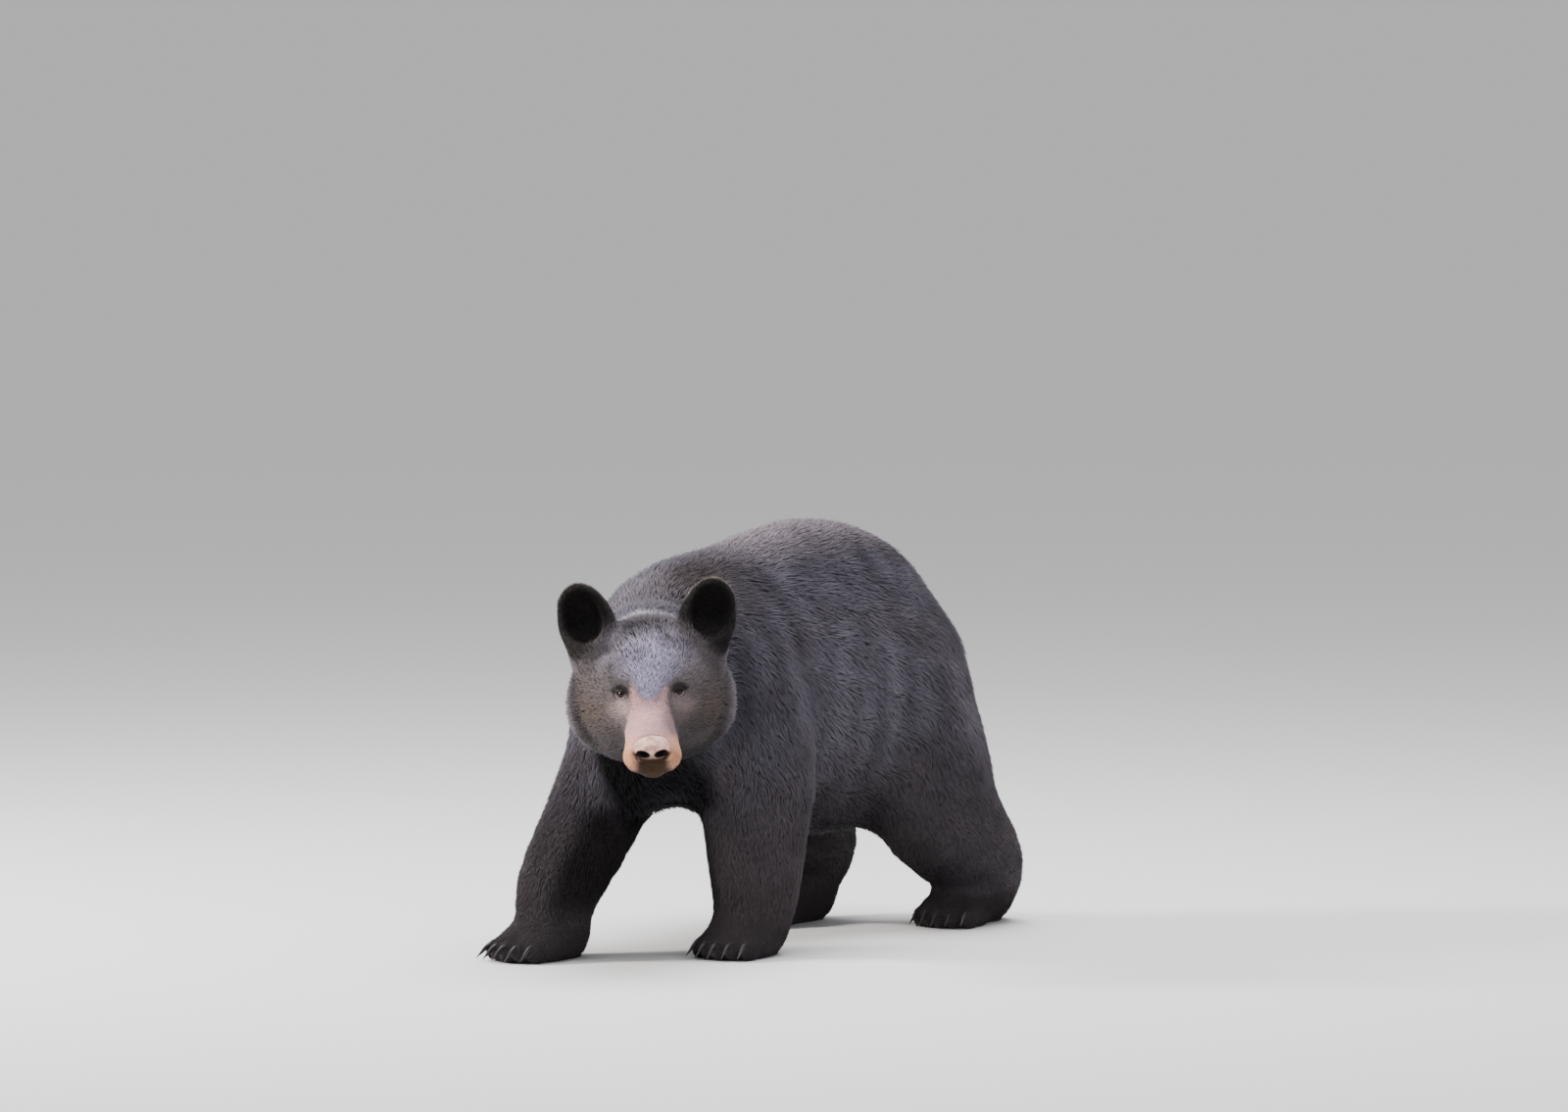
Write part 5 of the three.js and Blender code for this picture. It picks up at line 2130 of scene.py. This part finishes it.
@dataclass
class Coat:
    """Tufts over the skin, in a piece for each stretch of the body."""

    skin: Skin
    layers: float = 2.0  # how many tufts lie over one spot
    cover: float = 0.5  # share of its length times its width that a tuft covers
    sole_height: Span = (7, 3)
    sole_facing: Span = (-0.3, -0.7)
    eye_reach: float = 16.0
    eye_depth: float = -4.0
    lid_bare: Span = (0.9, 2.4)  # bare width along the upper and the lower lid
    lid_turn: Span = (1, -2)  # height where one passes into the other
    lid_edge: Span = (0, 1.2)
    lip_front: float = -100.0
    lip_edge: Span = (2, 4.4)
    nose_edge: Span = (-1, 1)
    stray: tuple[Waves, Waves] = (Waves(58.0, 11), Waves(58.0 / 3, 12))
    stray_shares: Span = (0.4, 0.35)  # of the finer waves, and from tuft to tuft
    length_range: Span = (0.72, 1.22)
    width_range: Span = (0.75, 1.25)
    depth_range: Span = (0.35, 1.5)
    depth_shares: Span = (0.22, 0.35)  # chance from tuft to tuft, and what the waves add
    sunk: float = 1.2  # how deep each root sits in the skin
    clump: float = 13.0  # how far apart the points lie that tufts gather to
    clump_stray: float = 0.4  # how far, of that, a point strays
    clump_length: float = 20.8  # tufts at least this long gather in full
    gather: float = 0.12  # how far their tips lean to those points
    mixing: tuple[Triple, ...] = ((12.99, 39.35, 73.16), (78.23, 11.14, 52.24), (37.72, 83.16, 9.15))
    flat: float = 0.42  # thickness against width
    lift: float = 0.3  # how far a tuft bulges off the skin, against its depth
    clear: float = 0.5  # how high above the floor the lowest hair stays
    patch: float = 0.003  # width of a tuft on the bake map
    most: int = 32000  # tufts in one piece
    belly: float = 0.34  # how far along a tuft it is widest
    edges: tuple[tuple[int, int], ...] = ((1, 2), (2, 3), (3, 1))  # of its middle ring

    def roots(self, rng: np.random.Generator) -> tuple[Array, Array]:
        """Spreads roots over the skin, as dense as the tufts there are small.

        Args:
            rng: the coat's own random numbers.

        Returns:
            The roots' places and the way that the skin faces there.
        """
        net = self.skin.net
        a, b, c = (net.points[net.triangles[:, k]] for k in range(3))
        area = np.linalg.norm(np.cross(b - a, c - a), axis=1) / 2
        middles = (a + b + c) / 3
        _, lie, _ = FORM.grown(middles)
        wanted = area * self.layers / (self.cover * lie[:, 1] * lie[:, 2])
        wanted *= self.bare(middles, unit(self.skin.normals[net.triangles].sum(1)))
        total = np.cumsum(wanted)
        count = int(total[-1])
        picks = (np.arange(count) + rng.random(count)) * total[-1] / count
        chosen = np.minimum(np.searchsorted(total, picks), len(total) - 1)
        first, second = np.sqrt(rng.random(count)), rng.random(count)
        shares = np.stack([1 - first, first * (1 - second), first * second], 1)[:, :, None]
        corners = net.triangles[chosen]
        return ((net.points[corners] * shares).sum(1).astype(np.float32),
                unit((self.skin.normals[corners] * shares).sum(1)).astype(np.float32))

    def bare(self, points: Array, normals: Array) -> Array:
        """Thins the coat on soles, lids, lips and the nose.

        Args:
            points: places in millimetres.
            normals: the way the skin faces there.

        Returns:
            Share of the coat that grows at each point.
        """
        sole = smoothstep(*self.sole_height, points[:, 2]) * smoothstep(*self.sole_facing, normals[:, 2])
        share = 1 - sole
        upper, lower = self.lid_bare
        for seat in EYE_SEATS.values():
            own = seat.own(points)
            near = (np.abs(own[:, 0]) < self.eye_reach) & (own[:, 2] > self.eye_depth)
            bare = upper + (lower - upper) * smoothstep(*self.lid_turn, own[:, 1])
            share = share * np.where(near, smoothstep(*self.lid_edge, EYE.rim(own) - bare), 1)
        own = HEAD_FRAME.inside(points)
        lips = own[:, 1] < self.lip_front
        share[lips] *= smoothstep(*self.lip_edge, MOUTH.nearest(points[lips])[0])
        return share * smoothstep(*self.nose_edge, joined(Nose.pad, mirrored(own)))

    def tufts(self, rng: np.random.Generator) -> Tufts:
        """Places the tufts.

        Args:
            rng: the coat's own random numbers.

        Returns:
            The tufts.
        """
        roots, normals = self.roots(rng)
        flow, lie, part = FORM.grown(roots)
        depth, length, width, ruffle = lie.T
        count = len(roots)
        broad, fine = (waves.at(roots) for waves in self.stray)
        stray = broad + self.stray_shares[0] * fine
        stray += self.stray_shares[1] * rng.normal(size=(count, 3)).astype(np.float32)
        along = across_normals(flow + ruffle[:, None] * stray, normals)
        length = length * rng.uniform(*self.length_range, count)
        chance, swell = self.depth_shares
        high = 1 + chance * rng.normal(size=count) + swell * ruffle * stray[:, 2]
        depth = depth * np.clip(high, *self.depth_range)
        flat = np.sqrt(np.maximum(length ** 2 - depth ** 2, 1.0))
        tips = roots + unit(along) * flat[:, None] + normals * depth[:, None]
        cell = np.floor(roots / self.clump)
        points = (cell + 0.5 + self.clump_stray * np.sin(cell @ np.array(self.mixing))) * self.clump
        pull = across_normals((points - roots).astype(np.float32), normals)
        tips += pull * self.gather * np.minimum(1.0, length / self.clump_length)[:, None]
        return Tufts(roots, tips, normals, depth, width * rng.uniform(*self.width_range, count), part)

    def solid(self, tufts: Tufts) -> tuple[Net, Array]:
        """Closed tapered tufts: a root and a tip, with three corners between them.

        Args:
            tufts: which tufts to make.

        Returns:
            Their net, and how far along its tuft each point lies.
        """
        count, half = len(tufts.roots), 0.5 * tufts.width[:, None]
        root = tufts.roots - tufts.normals * self.sunk
        axis = unit(tufts.tips - root)
        across = unit(np.cross(axis, tufts.normals))
        over = np.cross(across, axis)
        bulge = tufts.normals * self.lift * tufts.depth[:, None]
        middle = root + (tufts.tips - root) * self.belly + bulge
        ring = [middle - across * half, middle + across * half, middle + over * half * 2 * self.flat]
        points = np.stack([root, *ring, tufts.tips], 1)
        points[..., 2] = np.maximum(points[..., 2], self.clear)
        faces = [face for a, b in self.edges for face in ((0, b, a), (a, b, 4))]
        triangles = np.array(faces)[None] + (np.arange(count) * 5)[:, None, None]
        net = Net(points.reshape(-1, 3).astype(np.float32), triangles.reshape(-1, 3))
        return net, np.tile(np.array([0.0, *[self.belly] * 3, 1.0]), count)

    def patches(self, centres: Array) -> Array:
        """Lays each tuft's faces out side by side on the bake map.

        Args:
            centres: each root's place on the map.

        Returns:
            Corners on the map.
        """
        spots = []
        for k in range(3):
            low, middle, high = k / 3, (k + 0.5) / 3, (k + 1) / 3
            spots += [((middle, 0), (high, self.belly), (low, self.belly)),
                      ((low, self.belly), (high, self.belly), (middle, 1))]
        offsets = (np.array(spots) - 0.5) * self.patch
        return (centres[:, None, None] + offsets[None]).reshape(-1, 2)

    def groups(self, tufts: Tufts) -> dict[str, Array]:
        """Sorts the tufts by stretch of the body.

        Args:
            tufts: all of them.

        Returns:
            Their numbers under each stretch's name.
        """
        groups = {part.name: np.flatnonzero(tufts.part == number) for number, part in enumerate(FORM.parts)}
        named = {}
        for name, rows in groups.items():
            if name == EARS.name:
                left = HEAD_FRAME.inside(tufts.roots[rows])[:, 0] >= 0
                named |= {"ear_left": rows[left], "ear_right": rows[~left]}
            else:
                named[name] = rows
        return named

    def build(self) -> list[Object]:
        """Makes the coat.

        Returns:
            Its pieces.
        """
        rng = np.random.default_rng(SEED)
        tufts = self.tufts(rng)
        finish = PeltFinish("pelt_coat", bump=0.25).build()
        tones = MARKINGS_AND_PAINTED_LIGHT.tone(tufts.roots, tufts.normals)
        strands = rng.random(len(tones))
        pieces = []
        for label, rows in self.groups(tufts).items():
            centres = Unwrap(1).place(tufts.roots[rows], tufts.normals[rows], np.zeros(len(rows), int))
            share = int(np.ceil(len(rows) / self.most))
            for piece in range(share):
                some = slice(piece, None, share)
                net, along = self.solid(tufts.picked(rows[some]))
                coat = mesh_object(f"coat_{label}" + (f"_{piece + 1}" if share > 1 else ""), net, finish)
                repeat = len(net.points) // len(rows[some])
                set_tone(coat, np.repeat(tones[rows[some]], repeat, 0))
                set_number(coat, "along", along)
                set_number(coat, "strand", np.repeat(strands[rows[some]], repeat))
                set_bake_map(coat, self.patches(centres[some]))
                pieces.append(coat)
                log.info("%s: %d tufts, %d triangles", coat.name, len(rows[some]), len(net.triangles))
        log.info("coat: %d tufts, %d triangles", len(tones), sum(len(p.data.polygons) for p in pieces))
        return pieces


# ---- nose, eyes, claws


@dataclass(frozen=True)
class Nose:
    """Nose pad with its nostrils, in the head's frame."""

    pad: tuple[Ball, ...] = (Ball((0, -181, -21.5), (30, 19, 17)), Ball((0, -176, -13), (25, 17, 9), 14))
    nostrils: tuple[Ball | Taper, ...] = (
        Ball((15.5, -200, -20), (11, 17, 6.5)), Taper((20, -198, -22), (29, -187, -28), (4.2, 2.4), 3))
    box: tuple[Triple, Triple] = ((-40, -216, -46), (40, -154, 14))
    step: float = 0.8
    rim: float = 2.4
    groove: float = 1.0  # depth of the line below the nostrils
    groove_width: float = 1.3
    groove_top: Span = (-19, -26)
    wing: float = 0.7  # how far the rims of the nostrils swell
    wing_bell: Span = (3.4, 2.2)  # distance from the nostril, and width
    # painted shade: near the nostrils, and stronger towards the bottom of the pad
    dark_edge: Span = (3.4, 0.2)
    dark_below: Span = (-10, -34)
    dark_least: float = 0.97

    def distance(self, own: Array) -> Array:
        """Distance from each place to the pad's surface.

        Args:
            own: places in the head's frame.

        Returns:
            Distances, below zero inside.
        """
        folded = mirrored(own)
        hollow = joined(self.nostrils, folded)
        solid = hollowed(joined(self.pad, folded), hollow, self.rim)
        line = bump(folded[:, 0], 0, self.groove_width) * smoothstep(*self.groove_top, own[:, 2])
        return solid + self.groove * line - self.wing * bump(hollow, *self.wing_bell)

    def build(self) -> Object:
        """Makes the nose.

        Returns:
            Its object.
        """
        net = contour(self.distance, *(np.array(corner, float) for corner in self.box), self.step)
        # painted shade in and about the nostrils and towards the bottom of the pad
        dark = smoothstep(*self.dark_edge, joined(self.nostrils, mirrored(net.points)))
        dark = np.maximum(dark, self.dark_least * smoothstep(*self.dark_below, net.points[:, 2]))
        net.points = HEAD_FRAME.outside(net.points).astype(np.float32)
        nose = mesh_object("nose_pad", net, NOSE_LEATHER.build())
        set_number(nose, "hollow", dark)
        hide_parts("nose")
        log.info("nose: %d triangles", len(net.triangles))
        return nose


def tube_faces(rings: int, sides: int) -> list[tuple[int, int, int]]:
    """Joins rings of points with triangles, each ring to the next.

    Args:
        rings: how many steps.
        sides: points in a ring.

    Returns:
        Three numbers of points a triangle.
    """
    faces = []
    for ring in range(rings):
        for k in range(sides):
            a, b = ring * sides + k, ring * sides + (k + 1) % sides
            faces += [(a, b, b + sides), (a, b + sides, a + sides)]
    return faces


@dataclass(frozen=True)
class Eyeball:
    """An eyeball with its cornea, turned outward in its seat."""

    side: str
    rings: int = 40
    sides: int = 48
    iris: float = 34.0  # half angle of the iris, in degrees
    cornea: float = 0.9  # how far the cornea stands out
    cornea_edge: float = 1.15  # its half angle against the iris's

    def build(self) -> Object:
        """Makes the eyeball.

        Returns:
            Its object.
        """
        seat = EYE_SEATS[self.side]
        angles = np.linspace(0, np.pi, self.rings + 1)[1:-1]
        radius = EYE.radius + self.cornea * smoothstep(self.iris * self.cornea_edge, 0, np.degrees(angles))
        around = np.linspace(0, 2 * np.pi, self.sides, endpoint=False)
        wide, out = (radius * np.sin(angles))[:, None], (radius * np.cos(angles))[:, None]
        rows = np.stack([wide * np.cos(around), wide * np.sin(around), out + 0 * around], 2).reshape(-1, 3)
        own = np.vstack([rows, [[0, 0, EYE.radius + self.cornea], [0, 0, -EYE.radius]]])
        faces = [(a, c, b) for a, b, c in tube_faces(len(angles) - 1, self.sides)]
        front, back, last = len(rows), len(rows) + 1, len(rows) - self.sides
        for k in range(self.sides):
            after = (k + 1) % self.sides
            faces += [(front, k, after), (last + k, back, last + after)]
        basis = np.stack([seat.across, seat.up, seat.outward])
        net = Net((own @ basis + seat.middle).astype(np.float32), np.array(faces))
        eye = mesh_object(f"eyeball_{self.side}", net, EyeFinish(f"eye_{self.side}").build())
        every = np.concatenate([np.repeat(np.degrees(angles), self.sides), [0, 180]])
        set_number(eye, "ring", np.minimum(every / self.iris, 1.0))
        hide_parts(f"eye_{self.side}")
        return eye


@dataclass(frozen=True)
class Claws:
    """The five claws of one foot, grown from its toes."""

    foot: Leg
    rings: int = 14
    sides: int = 12
    root: Span = (20, 26)  # how far back from the toe's tip, and how high
    lengths: Span = (46.0, 40.0)  # fore, hind
    drop: float = 19.0
    drop_power: float = 2.2
    arch: float = 3.0
    arch_length: float = 1.4
    splay: float = 0.12
    half: Span = (4.4, 7.2)  # width, height
    tip: float = 0.06
    tip_power: float = 1.5
    under: float = 0.12  # how far the underside is flattened

    def claw(self, index: int) -> tuple[Array, Array]:
        """Shapes one claw, in the foot's frame.

        Args:
            index: the number of its toe.

        Returns:
            Its points and its faces.
        """
        paw = self.foot.paw
        x, y, _ = paw.toe(index)
        length = self.lengths[int(paw.hind)]
        share = np.linspace(0, 1, self.rings + 1)
        high = self.arch * np.sin(np.pi * np.minimum(self.arch_length * share, 1))
        middle = np.stack([
            x + self.splay * paw.toe_share(index) * length * share,
            y - paw.toe_radii[1] + self.root[0] - length * share,
            self.root[1] + high - self.drop * share ** self.drop_power], 1)
        ahead = unit(np.gradient(middle, axis=0))
        up = unit(np.cross(ahead, [1.0, 0, 0]))
        across = np.cross(up, ahead)
        thin = (1 - (1 - self.tip) * share ** self.tip_power)[:, None]
        angle = np.linspace(0, 2 * np.pi, self.sides, endpoint=False)
        ridge = 1 - self.under * np.maximum(-np.sin(angle), 0) ** 2
        wide, tall = self.half[0] * thin * np.cos(angle), self.half[1] * thin * np.sin(angle) * ridge
        points = middle[:, None] + across[:, None] * wide[..., None] + up[:, None] * tall[..., None]
        end = self.rings * self.sides
        faces = tube_faces(self.rings, self.sides)
        for k in range(1, self.sides - 1):
            faces += [(0, k + 1, k), (end, end + k, end + k + 1)]
        return points.reshape(-1, 3), np.array(faces)

    def build(self, material: Material) -> Object:
        """Makes the claws of the foot as one piece.

        Args:
            material: their horn.

        Returns:
            Their object.
        """
        claws = [self.claw(index) for index in range(self.foot.paw.toes)]
        points = np.vstack([points for points, _ in claws]).astype(np.float32)
        faces = np.vstack([faces + index * len(claws[0][0]) for index, (_, faces) in enumerate(claws)])
        name = self.foot.name.replace("leg", "paw")
        return mesh_object(f"claws_{name}", Net(self.foot.paw.frame.outside(points), faces), material)


# ---- the studio


@dataclass(frozen=True)
class Lamp:
    """Soft round lamp that looks at the bear: metres, watts and a colour."""

    name: str
    place: Triple
    size: float
    power: float
    colour: Triple
    aim: Triple = (0, 0, 0.4)

    def build(self) -> Object:
        """Adds the lamp.

        Returns:
            Its object.
        """
        data = bpy.data.lights.new(self.name, "AREA")
        data.shape = "DISK"
        data.size, data.energy, data.color = self.size, self.power, self.colour
        lamp = placed(self.name, data)
        lamp.location = self.place
        lamp.rotation_euler = (Vector(self.aim) - Vector(self.place)).to_track_quat("-Z", "Y").to_euler()
        return lamp


@dataclass(frozen=True)
class Studio:
    """Pale floor, soft light and the camera."""

    azimuth: float = 35.0  # degrees from straight ahead of the bear to the camera
    elevation: float = 3.5
    distance: float = 16.0
    scale: float = 550.0  # pixels to the metre at the bear
    frame_size: tuple[int, int] = (1600, 1135)
    origin: Span = (800, 955)  # pixel that the body frame's origin falls on
    sensor: float = 36.0  # width in millimetres
    far: float = 2000.0
    floor_half: float = 600.0
    dome_light: float = 0.88  # straight overhead
    dome_tint: tuple[float, ...] = (0.95, 0.945, 0.97, 1.0)
    lamps: tuple[Lamp, ...] = (
        Lamp("sky", (0.3, 0.4, 5.0), 4.0, 420.0, (0.97, 0.96, 1.0)),
        Lamp("key", (-3.9, -2.8, 2.8), 1.3, 480.0, (1.0, 0.95, 0.88)),
        Lamp("fill", (4.6, -2.8, 2.2), 0.7, 22.0, (0.96, 0.95, 1.0)),
    )

    def camera(self) -> Object:
        """Makes the camera.

        Returns:
            Its object.
        """
        turn, rise = np.radians([self.azimuth, self.elevation])
        back = Vector((np.sin(turn) * np.cos(rise), -np.cos(turn) * np.cos(rise), np.sin(rise)))
        right = Vector((np.cos(turn), np.sin(turn), 0))
        wide, high = self.frame_size
        left, low = (self.origin[0] - wide / 2) / self.scale, (self.origin[1] - high / 2) / self.scale
        aim = right * -left + back.cross(right) * low
        data = bpy.data.cameras.new("camera")
        data.sensor_fit = "HORIZONTAL"
        data.sensor_width = self.sensor
        data.lens = self.sensor * self.scale * self.distance / wide
        data.clip_end = self.far
        camera = placed("camera", data)
        camera.location = aim + back * self.distance + Vector(SHIFT * MM)
        camera.rotation_euler = (-back).to_track_quat("-Z", "Y").to_euler()
        bpy.context.scene.camera = camera
        return camera

    def dome(self) -> None:
        """Adds the soft dome of light, dimmer at the horizon, where it meets the floor's own tone."""
        world = bpy.data.worlds.new("studio")
        world.use_nodes = True
        tree = world.node_tree
        place = added(tree, "TexCoord", {}).outputs["Generated"]
        height = added(tree, "SeparateXYZ", {"Vector": place}).outputs["Z"]
        pale = FloorFinish().tone[0] / 3
        horizon = self.dome_light * 2 * pale / (1 - pale)
        feed(tree.nodes["Background"], {"Color": self.dome_tint,
                                        "Strength": spread(tree, height, horizon, self.dome_light)})
        bpy.context.scene.world = world

    def floor(self) -> Object:
        """Makes the floor.

        Returns:
            Its object.
        """
        mesh = bpy.data.meshes.new("floor")
        half = self.floor_half
        mesh.from_pydata([(-half, -half, 0), (half, -half, 0), (half, half, 0), (-half, half, 0)], [],
                         [(0, 1, 2, 3)])
        mesh.materials.append(FloorFinish().build())
        floor = placed("floor", mesh)
        floor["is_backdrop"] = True
        return floor

    def build(self) -> None:
        """Makes the floor, the lights and the camera."""
        self.camera()
        self.floor()
        for lamp in self.lamps:
            lamp.build()
        self.dome()


# ---- the whole bear


def write_sizes() -> None:
    """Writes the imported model's box and the dressed model's."""
    boxes = {"cad": CAD_BOUNDS, "visual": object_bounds()}
    plain = {name: [[float(v) for v in corner] for corner in box] for name, box in boxes.items()}
    log.info("size: %s", plain)


def main() -> None:
    """Builds the studio and the bear, piece by piece."""
    logging.basicConfig(level=logging.INFO, format="%(name)s %(relativeCreated)d ms %(message)s", force=True)
    Studio().build()
    skin = Skin()
    skin.build()
    skin.dress()
    Nose().build()
    for side in EYE_SEATS:
        Eyeball(side).build()
    horn = CLAW_HORN.build()
    for one in LEGS:
        Claws(one).build(horn)
    Coat(skin).build()
    write_sizes()


if __name__ == "__main__":
    main()
